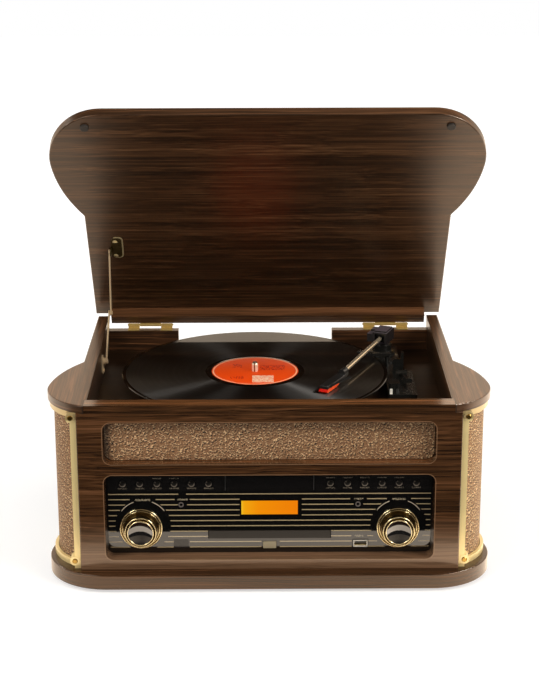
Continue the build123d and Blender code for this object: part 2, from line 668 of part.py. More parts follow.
def tonearm_base():
    """Moulded base: a long rear block with the pivot tower and a wide front block with the controls."""
    rear = Pos(140, 86) * RectangleRounded(27, 116, 4)
    front = Pos(149, 7) * RectangleRounded(32, 84, 3)
    base = slab(rear + front, DECK_TOP, BASE_TOP)
    base += slab(Pos(140.5, -13) * RectangleRounded(12, 15, 2), BASE_TOP - 1, BASE_TOP + 8)
    base += rod_z(ARM_X, ARM_Y, BASE_TOP - 1, BASE_TOP + 2.5, 15)
    base += rod_z(ARM_X, ARM_Y, BASE_TOP, TOWER_TOP, 11)
    base -= rod_z(ARM_X, ARM_Y, BASE_TOP, TOWER_TOP + 1, ARM_POST_RADIUS + SHAFT_CLEARANCE)
    base += lift_bar() + arm_rest()
    for x in (SPEED_SWITCH_X, STOP_SWITCH_X):
        base -= box(x - 1.8, x + 1.8, SWITCH_Y - 2.5, SWITCH_Y + SWITCH_TRAVEL + 2.5, BASE_TOP - 4, BASE_TOP + 1)
    for x in (CUE_X - 6.3, CUE_X + 3.1):
        ear = box(x, x + 3.2, CUE_Y - 4, CUE_Y + 4, BASE_TOP - 1, CUE_Z)
        ear += rod_x(CUE_Y, CUE_Z, x, x + 3.2, 4)
        base += ear
    base += rod_x(CUE_Y, CUE_Z, CUE_X - 4, CUE_X + 4, CUE_PIN_RADIUS)
    return base + rod_z(141, 84, BASE_TOP - 1, BASE_TOP + 1.4, 6.0)


def switch_tab(x):
    """Slide switch tab that runs front to back in its slot."""
    foot = box(x - 1.5, x + 1.5, SWITCH_Y - 2, SWITCH_Y + 2, BASE_TOP - 3.7, BASE_TOP)
    return foot + upright_plate(x, BASE_TOP + 2.4, 3.0, 5.2, 0.8, SWITCH_Y - 1.2, SWITCH_Y + 1.2)


def cue_lever():
    """Lift lever: an eye on its pin, a thin shaft slanting out to the front and a turned-up finger tab."""
    eye = rod_x(CUE_Y, CUE_Z, CUE_X - 2.7, CUE_X + 2.7, 3.6)
    plan = make_face(Polyline(
        [(CUE_X - 1.3, CUE_Y), (CUE_X + 1.3, CUE_Y), (CUE_X + 7.9, CUE_Y - 31), (CUE_X + 5.3, CUE_Y - 31)],
        close=True,
    ))
    shaft = slab(plan, CUE_Z - 1.0, CUE_Z + 1.2)
    tab = upright_plate(CUE_X + 6.6, CUE_Z + 1.6, 7, 5.2, 1.5, CUE_Y - 32, CUE_Y - 30)
    lever = eye + shaft + tab
    return lever - rod_x(CUE_Y, CUE_Z, CUE_X - 4, CUE_X + 4, CUE_PIN_RADIUS + SHAFT_CLEARANCE)


def tonearm_pivot():
    """Swivel housing on the tower: a post below, a stepped roof, two cheeks, the tilt pin and a side box."""
    block = box(-8.8, 8.8, -11, 17, -6, 7.4) - box(-6, 6, -12, 14, -7, 5.6)
    block += box(-7.4, 7.4, -8.5, 14, 7.3, 9.2)
    side_box = box(-16.2, -8.7, -9, 3, -5, 4.6) + box(-15, -8.7, 2, 13, -4, 7.0)
    plate = rod_z(0, 0, -8.6, -6, 8.7)
    post = rod_z(0, 0, -20.0, -8, ARM_POST_RADIUS)
    pin = rod_x(0, 0, -8, 8, 1.5)
    return arm_turned(block + side_box + plate + post + pin)


def tube_axis_z(distance):
    return -TUBE_DROP * distance / TUBE_LENGTH


def tonearm_tube():
    """Straight arm tube that drops slightly to the front, with the tilt bearing block at its rear."""
    slope = TUBE_DROP / TUBE_LENGTH
    direction = (0, -1, -slope)
    start = Plane(origin=(0, 9, 9 * slope), z_dir=direction)
    length = (TUBE_LENGTH + 9) * sqrt(1 + slope * slope)
    tube = extrude(start * Circle(TUBE_RADIUS), length)
    hub = box(-5.5, 5.5, -7, 12, -4.0, 4.4)
    hub = fillet(hub.edges().filter_by(Axis.Y), 1.5)
    return arm_turned(tube + hub - rod_x(0, 0, -9, 9, 1.5 + SHAFT_CLEARANCE))


def headshell_placed(shape):
    """Pieces of the headshell, drawn about the end of the tube, set at their offset angle."""
    return arm_turned(Pos(0, -TUBE_LENGTH, tube_axis_z(TUBE_LENGTH)) * Rot(0, 0, HEADSHELL_OFFSET) * shape)


def headshell():
    """Slim shell hung under the end of the tube, with its socket, pick-up body and finger lift."""
    neck, shoulder, nose = 3.4, 5.4, 4.5
    top, bottom = -1.0, -4.6
    outline = make_face(Polyline(
        [(-neck, 3), (neck, 3), (shoulder, -9), (shoulder, -40), (nose, -HEADSHELL_LENGTH),
         (-nose, -HEADSHELL_LENGTH), (-shoulder, -40), (-shoulder, -9)],
        close=True,
    ))
    shell = slab(outline, bottom, top)
    shell = fillet(shell.edges().filter_by(lambda e: e.center().Z > top - 0.1), 0.8)
    shell += Pos(0, -3, 0) * Rot(90, 0, 0) * Cylinder(3.9, 11)
    shell += box(-4.8, 4.8, -45, -26, -6.8, bottom)
    lift = make_face(Polyline([(4, -48), (6.4, -50), (13.5, -12), (11, -10.5)], close=True))
    shell += slab(lift, -2.6, -1.2)
    return headshell_placed(shell) - arm_turned(tube_bore())


def tube_bore():
    """The hole in the headshell that the end of the tube fills."""
    slope = TUBE_DROP / TUBE_LENGTH
    start = Plane(origin=(0, -TUBE_LENGTH + 30, -slope * (TUBE_LENGTH - 30)), z_dir=(0, -1, -slope))
    return extrude(start * Circle(TUBE_RADIUS), 30 * sqrt(1 + slope * slope))


def cartridge():
    """Stylus holder under the headshell: a wedge with its side grips, cantilever and tip."""
    side = make_face(Polyline(
        [(0, -29, -4.7), (0, -25, -4.7), (0, -25, -6.0), (0, -34, -8.2), (0, -57, -8.2), (0, -58.5, -6.8),
         (0, -55, -4.7)],
        close=True,
    ))
    wedge = Pos(-5.1, 0, 0) * extrude(side, 10.2, dir=(1, 0, 0))
    wedge -= box(-4.9, 4.9, -45.1, -25.9, -6.9, -4.6)
    cantilever = Pos(0, -52.5, -8.3) * Box(1.2, 6, 0.8)
    tip = Pos(0, -54.5, -8.48) * Cone(0.2, 0.6, 0.6)
    return headshell_placed(wedge + cantilever + tip)


# Lid, hinges and stay

LID_CORNER_RADIUS = 56.1
LID_EAR_CENTRE = (167.7, -91.8)
LID_EAR_RADIUS = 74.1
LID_PAST_ANGLE = 6.5
LID_SIDE = (209.8, -2.5)
LID_REAR = (208.5, 169.9)
BUMPER_X, BUMPER_Y = 199.2, -143.0


def lid_board():
    ear = tight_ear_curve(LID_CORNER_RADIUS, LID_EAR_CENTRE, LID_EAR_RADIUS, LID_PAST_ANGLE, LID_SIDE)
    half = slab(eared_face(ear, LID_SIDE, LID_REAR, 0), LID_UNDERSIDE, LID_UNDERSIDE + LID_THICKNESS)
    board = both_sides(half)
    rims = board.edges().filter_by(
        lambda e: abs(e.center().Z - LID_UNDERSIDE - LID_THICKNESS / 2) > LID_THICKNESS / 2 - 0.01
    )
    return opened(fillet(rims, 1.4))


def lid_rail():
    rail = box(
        -RAIL_HALF_LENGTH, RAIL_HALF_LENGTH, RAIL_BACK - RAIL_DEPTH, RAIL_BACK, RAIL_BOTTOM, LID_UNDERSIDE
    )
    return opened(rail)


def lid_bumpers():
    pad = turned_z([(0, -2.6), (4.2, -2.6), (4.8, -2.0), (4.8, 0), (0, 0)])
    return Compound([opened(Pos(x, BUMPER_Y, LID_UNDERSIDE) * pad) for x in (-BUMPER_X, BUMPER_X)])


HINGE_LOBES = ((115.6, 129.4), (155.4, 169.0))
HINGE_PIN_RADIUS = 1.0
KNUCKLE_RADIUS = 1.9
LEAF_THICKNESS = 1.2


def fixed_leaf(lobes):
    """Case leaf: a foot on the rear wall for each knuckle, with the pin through both."""
    leaf = None
    for x0, x1 in lobes:
        foot = box(x0, x1, REAR_INNER + 0.5, HINGE_Y, REAR_WALL_TOP, REAR_WALL_TOP + LEAF_THICKNESS)
        web = box(x0, x1, HINGE_Y - 3.4, HINGE_Y - 0.8, REAR_WALL_TOP, HINGE_Z)
        knuckle = rod_x(HINGE_Y, HINGE_Z, x0, x1, KNUCKLE_RADIUS)
        piece = foot + web + knuckle
        leaf = piece if leaf is None else leaf + piece
    return leaf + rod_x(HINGE_Y, HINGE_Z, lobes[0][0] - 1, lobes[1][1] + 1, HINGE_PIN_RADIUS)


def hinge_fixed_leaves():
    leaf = fixed_leaf(HINGE_LOBES)
    return Compound([leaf, mirrored(leaf)])


def lid_leaf():
    """Lid leaf: the middle knuckle, curled from a plate on the back of the rail."""
    x0, x1 = HINGE_LOBES[0][1] + 0.3, HINGE_LOBES[1][0] - 0.3
    knuckle = rod_x(HINGE_Y, HINGE_Z, x0, x1, KNUCKLE_RADIUS)
    plate = box(x0, x1, RAIL_BACK, RAIL_BACK + LEAF_THICKNESS, HINGE_Z, LID_UNDERSIDE - 1)
    leaf = plate + knuckle - rod_x(HINGE_Y, HINGE_Z, x0 - 1, x1 + 1, HINGE_PIN_RADIUS + SHAFT_CLEARANCE)
    return leaf - box(x0 - 1, x1 + 1, RAIL_BACK - 5, RAIL_BACK, RAIL_BOTTOM, LID_UNDERSIDE)


def hinge_lid_leaves():
    leaf = lid_leaf()
    return Compound([opened(leaf), opened(mirrored(leaf))])


STAY_PIN_RADIUS = 1.5
EAR_X = (-183.7, -182.2)


def link(x, y0, z0, y1, z1, end_hole):
    """Flat stay link between two places, round at both ends, with a hole at its first end."""
    length = sqrt((y1 - y0) ** 2 + (z1 - z0) ** 2)
    plane = Plane(
        origin=(x - LINK_THICKNESS / 2, (y0 + y1) / 2, (z0 + z1) / 2),
        x_dir=(0, (y1 - y0) / length, (z1 - z0) / length),
        z_dir=(1, 0, 0),
    )
    bar = extrude(plane * SlotCenterToCenter(length, 2 * LINK_HALF_WIDTH), LINK_THICKNESS)
    bar -= rod_x(y0, z0, x - 3, x + 3, STAY_PIN_RADIUS + SHAFT_CLEARANCE)
    if end_hole:
        bar -= rod_x(y1, z1, x - 3, x + 3, STAY_PIN_RADIUS + SHAFT_CLEARANCE)
    return bar


def stay_lower_link():
    """From the wall bracket to the elbow, with the elbow's eye left open for the rivet."""
    return link(STAY_LOWER_X, STAY_WALL_Y, STAY_WALL_Z, STAY_ELBOW_Y, STAY_ELBOW_Z, True)


def stay_upper_link():
    """From the lid bracket to the elbow, with the elbow rivet's head on its inner face."""
    y0, z0 = opened_point(STAY_LID_Y, STAY_LID_Z)
    bar = link(STAY_UPPER_X, y0, z0, STAY_ELBOW_Y, STAY_ELBOW_Z, False)
    inner = STAY_UPPER_X + LINK_THICKNESS / 2
    return bar + rod_x(STAY_ELBOW_Y, STAY_ELBOW_Z, inner, inner + 1.0, 2.6)


def stay_lid_bracket():
    """Plate screwed under the lid with an ear that carries the upper link."""
    x0, x1 = EAR_X
    z = LID_UNDERSIDE
    plate_face = Pos(-175.2, 49.5) * RectangleRounded(13.5, 34, 5.5)
    plate = slab(plate_face, z - 1.4, z)
    for y in (41.0, 62.0):
        plate += rod_z(-175.6, y, z - 2.2, z - 1.4, 2.4)
    ear = box(x0, x1, STAY_LID_Y - 5, STAY_LID_Y + 5, STAY_LID_Z, z)
    ear += rod_x(STAY_LID_Y, STAY_LID_Z, x0, x1, 5)
    ear &= box(x0, x1, 0, 120, STAY_LID_Z - 6, z)
    plate += box(x0, -178, STAY_LID_Y - 5, STAY_LID_Y + 5, z - 1.4, z)
    pin = rod_x(STAY_LID_Y, STAY_LID_Z, STAY_UPPER_X - 0.8, x1, STAY_PIN_RADIUS)
    return opened(plate + ear + pin)


def stay_wall_bracket():
    """Plate on the inner face of the left wall with a stand-off boss and the lower pin."""
    wall = -INNER_HALF_WIDTH
    plane = Plane(origin=(wall, STAY_WALL_Y, STAY_WALL_Z - 4), x_dir=(0, 1, 0), z_dir=(1, 0, 0))
    plate = extrude(plane * RectangleRounded(11, 22, 4), 1.5)
    plate += rod_x(STAY_WALL_Y, STAY_WALL_Z - 11, wall + 1.5, wall + 2.4, 2.2)
    boss_end = STAY_LOWER_X - LINK_THICKNESS / 2 - 0.2
    plate += rod_x(STAY_WALL_Y, STAY_WALL_Z, wall + 1.5, boss_end, 4.2)
    head = STAY_LOWER_X + LINK_THICKNESS / 2 + 0.2
    pin = rod_x(STAY_WALL_Y, STAY_WALL_Z, boss_end, head, STAY_PIN_RADIUS)
    return plate + pin + rod_x(STAY_WALL_Y, STAY_WALL_Z, head, head + 1.0, 3.0)


def all_nodes():
    side = side_wall_right()
    wing = wing_right()
    cloth = corner_cloth()
    frame = brass_frame()
    driver = speaker_driver()
    nodes = {
        "plinth": plinth(),
        "rubber_feet": rubber_feet(),
        "front_panel": front_panel(),
        "side_wall_right": side,
        "side_wall_left": mirrored(side),
        "rear_wall": rear_wall(),
        "wing_right": wing,
        "wing_left": mirrored(wing),
        "speaker_baffles": speaker_baffles(),
        "grille_cloth_right": cloth,
        "grille_cloth_left": mirrored(cloth),
        "grille_cloth_front": speaker_slot_plate(SPEAKER_CLOTH_FRONT, SPEAKER_BOARD_FRONT),
        "brass_frame_right": frame,
        "brass_frame_left": mirrored(frame),
        "frame_screws": frame_screws(),
        "speaker_drivers": Compound([driver, mirrored(driver)]),
        "fascia": fascia(),
        "display_windows": display_windows(),
        "sockets": sockets(),
        "control_board": control_board(),
        "eject_button": eject_button(),
        "volume_knob": Pos(-KNOB_X, 0, KNOB_Z) * knob(),
        "tuning_knob": Pos(KNOB_X, 0, KNOB_Z) * knob(),
        "cd_tray": cd_tray(),
        "cd_mechanism": cd_mechanism(),
        "deck": deck(),
        "platter": platter(),
        "record": record(),
        "motor": motor(),
        "motor_pulley": motor_pulley(),
        "drive_belt": drive_belt(),
        "tonearm_base": tonearm_base(),
        "speed_switch": switch_tab(SPEED_SWITCH_X),
        "auto_stop_switch": switch_tab(STOP_SWITCH_X),
        "cue_lever": cue_lever(),
        "tonearm_pivot": tonearm_pivot(),
        "tonearm_tube": tonearm_tube(),
        "headshell": headshell(),
        "cartridge": cartridge(),
        "lid_board": lid_board(),
        "lid_rail": lid_rail(),
        "lid_bumpers": lid_bumpers(),
        "hinge_fixed_leaves": hinge_fixed_leaves(),
        "hinge_lid_leaves": hinge_lid_leaves(),
        "stay_lid_bracket": stay_lid_bracket(),
        "stay_wall_bracket": stay_wall_bracket(),
        "stay_upper_link": stay_upper_link(),
        "stay_lower_link": stay_lower_link(),
    }
    for number, x in enumerate(button_places(), start=1):
        nodes[f"button_{number:02d}"] = Pos(x, PLATE_FRONT, BUTTON_Z) * round_button()
    return nodes


for name, shape in all_nodes().items():
    export_step(shape, f"parts/{name}.step")
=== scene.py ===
import math

import bpy
import bmesh
from mathutils import Matrix, Vector


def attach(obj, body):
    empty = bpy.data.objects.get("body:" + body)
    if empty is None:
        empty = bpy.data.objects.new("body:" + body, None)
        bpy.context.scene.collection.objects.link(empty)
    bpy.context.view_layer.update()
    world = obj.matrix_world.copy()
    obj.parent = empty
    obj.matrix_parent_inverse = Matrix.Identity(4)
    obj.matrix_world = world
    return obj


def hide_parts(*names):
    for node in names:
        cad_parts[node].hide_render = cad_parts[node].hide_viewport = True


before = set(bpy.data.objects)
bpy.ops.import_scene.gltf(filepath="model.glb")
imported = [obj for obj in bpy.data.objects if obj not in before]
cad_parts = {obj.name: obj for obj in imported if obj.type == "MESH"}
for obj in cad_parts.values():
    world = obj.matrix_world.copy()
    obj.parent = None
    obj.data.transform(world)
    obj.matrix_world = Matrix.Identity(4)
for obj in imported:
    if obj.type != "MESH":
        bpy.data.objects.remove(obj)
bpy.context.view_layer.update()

MM = 0.001


# Colours

def srgb(r, g, b):
    """A colour written as it looks on screen, 0 to 255, as linear RGBA."""
    def lin(v):
        v /= 255
        return v / 12.92 if v <= 0.04045 else ((v + 0.055) / 1.055) ** 2.4
    return (lin(r), lin(g), lin(b), 1.0)


def grey(level):
    return (level, level, level, 1.0)


def times(colour, factor):
    """A linear colour made darker or lighter, up to full strength."""
    return tuple(min(1, c * factor) for c in colour[:3]) + (1,)


def tones(*stops):
    """Ramp stops from pairs of a place and either a screen colour or one linear level."""
    return [(place, srgb(*tone) if isinstance(tone, tuple) else grey(tone)) for place, tone in stops]


# Shader nodes

class Graph:
    """Short calls for the nodes of a material or of the world."""

    def __init__(self, tree, clear=True):
        self.tree = tree
        if clear:
            tree.nodes.clear()
        places = self.add("TexCoord")
        self.coord = places.outputs["Object"]
        self.normal = places.outputs["Normal"]
        self.direction = places.outputs["Generated"]

    def add(self, kind, inputs=None, **props):
        node = self.tree.nodes.new("ShaderNode" + kind)
        for k, v in props.items():
            setattr(node, k, v)
        for k, v in (inputs or {}).items():
            self.put(node.inputs[k], v)
        return node

    def put(self, socket, value):
        """Link a socket or a node's first output, or else set the value."""
        if isinstance(value, bpy.types.NodeSocket):
            self.tree.links.new(value, socket)
        elif isinstance(value, bpy.types.Node):
            self.tree.links.new(value.outputs[0], socket)
        else:
            socket.default_value = value

    def surface(self, inputs):
        """Link or set inputs of the material's surface shader."""
        for k, v in inputs.items():
            self.put(self.surf.inputs[k], v)

    def math(self, op, a, b=0.0, c=0.0, clamp=False):
        node = self.add("Math", operation=op, use_clamp=clamp)
        for i, v in enumerate((a, b, c)):
            self.put(node.inputs[i], v)
        return node.outputs[0]

    def mul(self, a, b):
        return self.math("MULTIPLY", a, b)

    def plus(self, a, b):
        return self.math("ADD", a, b)

    def minus(self, a, b):
        return self.math("SUBTRACT", a, b)

    def over(self, a, b, clamp=False):
        """a divided by b."""
        return self.math("DIVIDE", a, b, clamp=clamp)

    def scaled(self, a, factor, offset):
        return self.math("MULTIPLY_ADD", a, factor, offset)

    def less(self, a, b):
        return self.math("LESS_THAN", a, b)

    def more(self, a, b):
        return self.math("GREATER_THAN", a, b)

    def most(self, a, b):
        return self.math("MAXIMUM", a, b)

    def least(self, a, b):
        return self.math("MINIMUM", a, b)

    def size(self, a):
        return self.math("ABSOLUTE", a)

    def fract(self, a):
        return self.math("FRACT", a)

    def reach(self, a, b):
        """The length of a step of a one way and b the other."""
        return self.math("SQRT", self.plus(self.mul(a, a), self.mul(b, b)))

    def near(self, value, centre, half):
        """1 where the value lies within half of the centre, else 0."""
        return self.less(self.size(self.minus(value, centre)), half)

    def between(self, value, low, high):
        """1 where the value lies between low and high, else 0."""
        return self.mul(self.more(value, low), self.less(value, high))

    def flip(self, condition):
        """1 for 0 and 0 for 1."""
        return self.minus(1.0, condition)

    def every(self, first, *others):
        """1 where all the conditions are 1."""
        for other in others:
            first = self.mul(first, other)
        return first

    def some(self, first, *others):
        """The largest of the conditions."""
        for other in others:
            first = self.most(first, other)
        return first

    def in_boxes(self, a, b, boxes):
        """1 inside any box, each given by its lower and upper a and its lower and upper b."""
        return self.some(*(self.mul(self.near(a, (a0 + a1) / 2, (a1 - a0) / 2),
                                    self.near(b, (b0 + b1) / 2, (b1 - b0) / 2)) for a0, a1, b0, b1 in boxes))

    def outside(self, a, b, half_a, half_b, corner):
        """How far (a, b) lies outside a rectangle with round corners; it is negative inside."""
        past_a = self.minus(self.size(a), half_a - corner)
        past_b = self.minus(self.size(b), half_b - corner)
        beyond = self.reach(self.most(past_a, 0.0), self.most(past_b, 0.0))
        within = self.least(self.most(past_a, past_b), 0.0)
        return self.minus(self.plus(beyond, within), corner)

    def split(self, vector):
        return self.add("SeparateXYZ", {0: vector}).outputs

    def place_mm(self):
        """The shaded point's x, y and z in millimetres."""
        return [self.mul(part, 1000.0) for part in self.split(self.coord)]

    def moved(self, vector, by):
        return self.add("VectorMath", {0: vector, 1: by}, operation="ADD").outputs[0]

    def mix(self, fac, a, b, blend="MIX"):
        node = self.add("Mix", data_type="RGBA", blend_type=blend)
        self.put(node.inputs[0], fac)
        self.put(node.inputs[6], a)
        self.put(node.inputs[7], b)
        return node.outputs[2]

    def shaded(self, colour, by):
        """A colour multiplied by another one."""
        return self.mix(1.0, colour, by, "MULTIPLY")

    def ramp(self, fac, stops):
        node = self.add("ValToRGB")
        elements = node.color_ramp.elements
        while len(elements) > 1:
            elements.remove(elements[-1])
        for i, (place, colour) in enumerate(stops):
            element = elements[0] if i == 0 else elements.new(place)
            element.position = place
            element.color = colour
        self.put(node.inputs[0], fac)
        return node.outputs[0]

    def noise(self, vector, detail, rough):
        return self.add("TexNoise", {"Vector": vector, "Scale": 1.0, "Detail": detail,
                                     "Roughness": rough}).outputs[0]

    def place(self, vector, scale, shift=(0, 0, 0)):
        return self.add("Mapping", {"Vector": vector, "Scale": scale, "Location": shift}).outputs[0]

    def cloud(self, scale, detail=3, rough=0.6):
        """Noise over the object, with one scale for all axes or one for each."""
        scales = scale if isinstance(scale, tuple) else (scale,) * 3
        return self.noise(self.place(self.coord, scales), detail, rough)

    def bump(self, height, strength, distance):
        return self.add("Bump", {"Height": height, "Strength": strength, "Distance": distance}).outputs[0]


def material(name):
    """A new material and its graph, with the surface shader as surf and the output as out."""
    mat = bpy.data.materials.new(name)
    mat.use_nodes = True
    g = Graph(mat.node_tree)
    g.out = g.add("OutputMaterial")
    g.surf = g.add("BsdfPrincipled")
    g.put(g.out.inputs[0], g.surf)
    return mat, g


# Pieces

def new_object(name, data):
    """An object of the scene, made from mesh, lamp or camera data."""
    obj = bpy.data.objects.new(name, data)
    bpy.context.scene.collection.objects.link(obj)
    return obj


def dress(node, mat):
    """Give a CAD node that keeps its own shape a material."""
    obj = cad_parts[node]
    obj.data.materials.clear()
    obj.data.materials.append(mat)


def soften(node, width, rim=None):
    """Round the sharp edges of a CAD node by a modifier, so that they catch light.

    With rim, that material colours the rounding as a painted highlight."""
    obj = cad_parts[node]
    mod = obj.modifiers.new("Edge", "BEVEL")
    mod.width = width * MM
    mod.segments = 2
    mod.limit_method = "ANGLE"
    mod.angle_limit = math.radians(30)
    mod.harden_normals = True
    if rim is not None:
        obj.data.materials.append(rim)
        mod.material = 1


def add_mesh(name, shape, mat, body, sharp=40):
    """A smooth piece from verts in millimetres and faces, with its sharp edges kept."""
    verts, faces = shape
    mesh = bpy.data.meshes.new(name)
    mesh.from_pydata([tuple(c * MM for c in v) for v in verts], [], faces)
    mesh.validate()
    bm = bmesh.new()
    bm.from_mesh(mesh)
    bmesh.ops.remove_doubles(bm, verts=bm.verts, dist=1e-7)
    bmesh.ops.recalc_face_normals(bm, faces=bm.faces)
    bm.to_mesh(mesh)
    bm.free()
    mesh.shade_smooth()
    mesh.set_sharp_from_angle(angle=math.radians(sharp))
    mesh.materials.append(mat)
    obj = new_object(name, mesh)
    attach(obj, body)
    return obj


def turned(profile, matrix, segments):
    """Verts and faces of a body turned about local Z from (radius, z) corners, then placed by matrix."""
    verts, faces = [], []
    for r, z in profile:
        for k in range(segments):
            a = 2 * math.pi * k / segments
            verts.append(tuple(matrix @ Vector((r * math.cos(a), r * math.sin(a), z))))
    for i in range(len(profile) - 1):
        for k in range(segments):
            m = (k + 1) % segments
            low, high = i * segments, (i + 1) * segments
            faces.append((low + k, low + m, high + m, high + k))
    return verts, faces


def merge(shapes):
    """One shape's verts and faces from several."""
    verts, faces = [], []
    for v, f in shapes:
        base = len(verts)
        verts += v
        faces += [tuple(i + base for i in t) for t in f]
    return verts, faces


FACE_FRONT = Matrix.Rotation(math.radians(90), 4, "X")   # local +Z points to the front


def at(x, y, z):
    return Matrix.Translation(Vector((x, y, z)))


# Walnut

LACQUER_TINT = (1.0, 0.86, 0.74, 1.0)


def wood(name, along, stops, rough=0.3, seed=0.0, bump=0.1, spread=3.0, gloss=0.5, face=None, top=1.0,
         rim=1.0, rim_gloss=None, floor_sheen_paint=0.0):
    """Dark walnut foil: thin strokes, lines and wide bands that run along one axis and wander a little.

    With face, the narrow sides of a board that lies across that axis carry a band whose strokes run
    round them; rim makes that band paler, as painted light, or darker, as painted shade, and rim_gloss
    makes it glossier or duller. top makes the parts that look up paler or darker, as painted light and
    shade, and wash lightens the foot of an upright board as a painted reflection of the floor."""
    mat, g = material(name)

    def grain(source, across, lengthwise, detail, rough_octaves, runs):
        scale = tuple(lengthwise if i in runs else across for i in range(3))
        return g.noise(g.place(source, scale, (seed, seed * 1.7, seed * 0.6)), detail, rough_octaves)

    def figure(runs):
        drift = g.scaled(grain(g.coord, 12.0, 5.0, 2, 0.6, runs), 0.012, -0.006)
        bent = g.moved(g.coord, g.add("CombineXYZ", {i: drift for i in range(3) if i not in runs}))
        stroke = grain(bent, 1000.0, 9.0, 2, 0.6, runs)
        line = grain(bent, 340.0, 2.6, 3, 0.65, runs)
        band = grain(bent, 70.0, 0.9, 2, 0.6, runs)
        mixed = g.plus(g.plus(g.mul(stroke, 0.36), g.mul(line, 0.42)), g.mul(band, 0.22))
        return line, g.scaled(mixed, spread, 0.5 - 0.5 * spread)

    line, tone = figure(["XYZ".index(along)])
    normal = g.split(g.normal)
    colour = g.ramp(tone, stops)
    if face is not None:
        flat = "XYZ".index(face)
        wrapped, edge_tone = figure([i for i in range(3) if i != flat])
        broad = g.more(g.size(normal[flat]), 0.6)
        colour = g.mix(broad, g.shaded(g.ramp(edge_tone, stops), grey(rim)), colour)
        line = g.mix(broad, wrapped, line)
        if rim_gloss is not None:
            gloss = g.scaled(broad, gloss - rim_gloss, rim_gloss)
    # painted light and shade: the faces that look up are made paler or darker
    top_light_paint = g.more(normal[2], 0.7)
    colour = g.mix(top_light_paint, colour, g.shaded(colour, (top, top * 0.97, top * 0.94, 1)))
    # painted reflection of the pale floor at the foot of an upright board
    if floor_sheen_paint:
        height = g.split(g.coord)[2]
        foot = g.ramp(g.mul(height, 5.0), tones((0.18, 1), (0.26, 0.75), (0.33, 0.25), (0.4, 0)))
        wear_and_sheen = g.ramp(tone, tones((0.0, (98, 72, 52)), (1.0, (146, 114, 88))))
        colour = g.mix(g.mul(foot, floor_sheen_paint), colour, wear_and_sheen)
    g.surface({"Base Color": colour, "Roughness": rough, "IOR": 1.5, "Specular Tint": LACQUER_TINT,
               "Specular IOR Level": gloss, "Normal": g.bump(line, bump, 0.0004)})
    return mat


LID_STOPS = tones((0.0, (22, 13, 6)), (0.3, (40, 25, 13)), (0.5, (57, 36, 20)), (0.7, (80, 53, 32)),
                  (1.0, (116, 82, 54)))
CASE_STOPS = tones((0.0, (30, 17, 8)), (0.3, (52, 32, 17)), (0.5, (72, 46, 26)), (0.7, (96, 63, 39)),
                   (1.0, (128, 88, 58)))
PANEL_STOPS = tones((0.0, (26, 14, 6)), (0.3, (45, 27, 13)), (0.5, (63, 39, 20)), (0.7, (86, 55, 32)),
                    (1.0, (116, 78, 50)))
RAIL_STOPS = tones((0.0, (42, 25, 13)), (0.3, (66, 42, 24)), (0.5, (86, 56, 34)), (0.7, (110, 74, 48)),
                   (1.0, (140, 98, 66)))
REAR_STOPS = tones((0.0, (24, 13, 6)), (0.4, (46, 28, 15)), (0.7, (76, 47, 27)), (1.0, (122, 82, 52)))
DARK_STOPS = tones((0.0, (16, 9, 4)), (0.4, (30, 19, 10)), (0.7, (46, 29, 16)), (1.0, (66, 43, 26)))
EDGE_HIGHLIGHT_STOPS = tones((0.0, (80, 55, 36)), (1.0, (140, 104, 76)))

# the lid's narrow sides are painted paler, as light
lid_wood = wood("lid_walnut", "X", LID_STOPS, rough=0.3, seed=3.1, face="Y", rim=1.25, rim_gloss=0.15)
rail_wood = wood("rail_walnut", "X", RAIL_STOPS, rough=0.33, seed=8.4)
# the front panel: painted light on its tops and a painted reflection of the floor at its foot
panel_wood = wood("panel_walnut", "X", PANEL_STOPS, rough=0.16, seed=1.3, gloss=0.62, top=1.7, bump=0.06,
                  floor_sheen_paint=0.75)
# the plinth's tops are painted darker, as shade
plinth_wood = wood("plinth_walnut", "X", PANEL_STOPS, rough=0.26, seed=5.2, face="Z", top=0.62, gloss=0.6)
# the wings' narrow sides are painted darker, as shade
wing_wood = wood("wing_walnut", "Y", CASE_STOPS, rough=0.33, seed=2.6, gloss=0.62, face="Z", rim=0.68)
wall_wood = wood("wall_walnut", "Y", DARK_STOPS, rough=0.33, seed=6.8)
rear_wood = wood("rear_walnut", "X", REAR_STOPS, rough=0.36, seed=9.9, spread=3.6)
deck_wood = wood("deck_walnut", "X", DARK_STOPS, rough=0.34, seed=4.4, spread=4.0)
# paler, glossier walnut for the rounded edges, a painted highlight
edge_highlight_wood = wood("edge_walnut_highlight", "X", EDGE_HIGHLIGHT_STOPS, rough=0.15, seed=7.7, gloss=1.0)


# Tints laid over parts of a material: painted highlights and shade, and a dark joint

def tint_where(mat, pick, colour):
    """Blend a material's colour towards another one where pick says so, from 0 to 1."""
    g = Graph(mat.node_tree, clear=False)
    base = mat.node_tree.nodes["Principled BSDF"].inputs["Base Color"]
    before = base.links[0].from_socket
    g.put(base, g.mix(pick(g), before, colour))


# the front panel's two windows: middle height, half width, half height
WINDOWS = ((163.25, 175.0, 22.95), (79.0, 175.0, 48.2))
WINDOW_CORNER = 8.5


def window_highlight_lines(g):
    """Painted highlight: a thin light line just outside each window, on the panel's front face."""
    x, _, z = g.place_mm()
    lines = [g.near(g.outside(x, g.minus(z, middle), half_w, half_h, WINDOW_CORNER), 0.7, 0.38)
             for middle, half_w, half_h in WINDOWS]
    front = g.less(g.split(g.normal)[1], -0.9)
    return g.mul(g.mul(g.some(*lines), front), 0.55)


def window_rounding_highlight(g):
    """Painted highlight, brighter still, on the rounded edges round the windows, and not the panel's outer
    ones.
    """
    x, _, z = g.place_mm()
    return g.mul(g.mul(g.less(g.size(x), 176.5), g.less(z, 188.5)), 0.8)


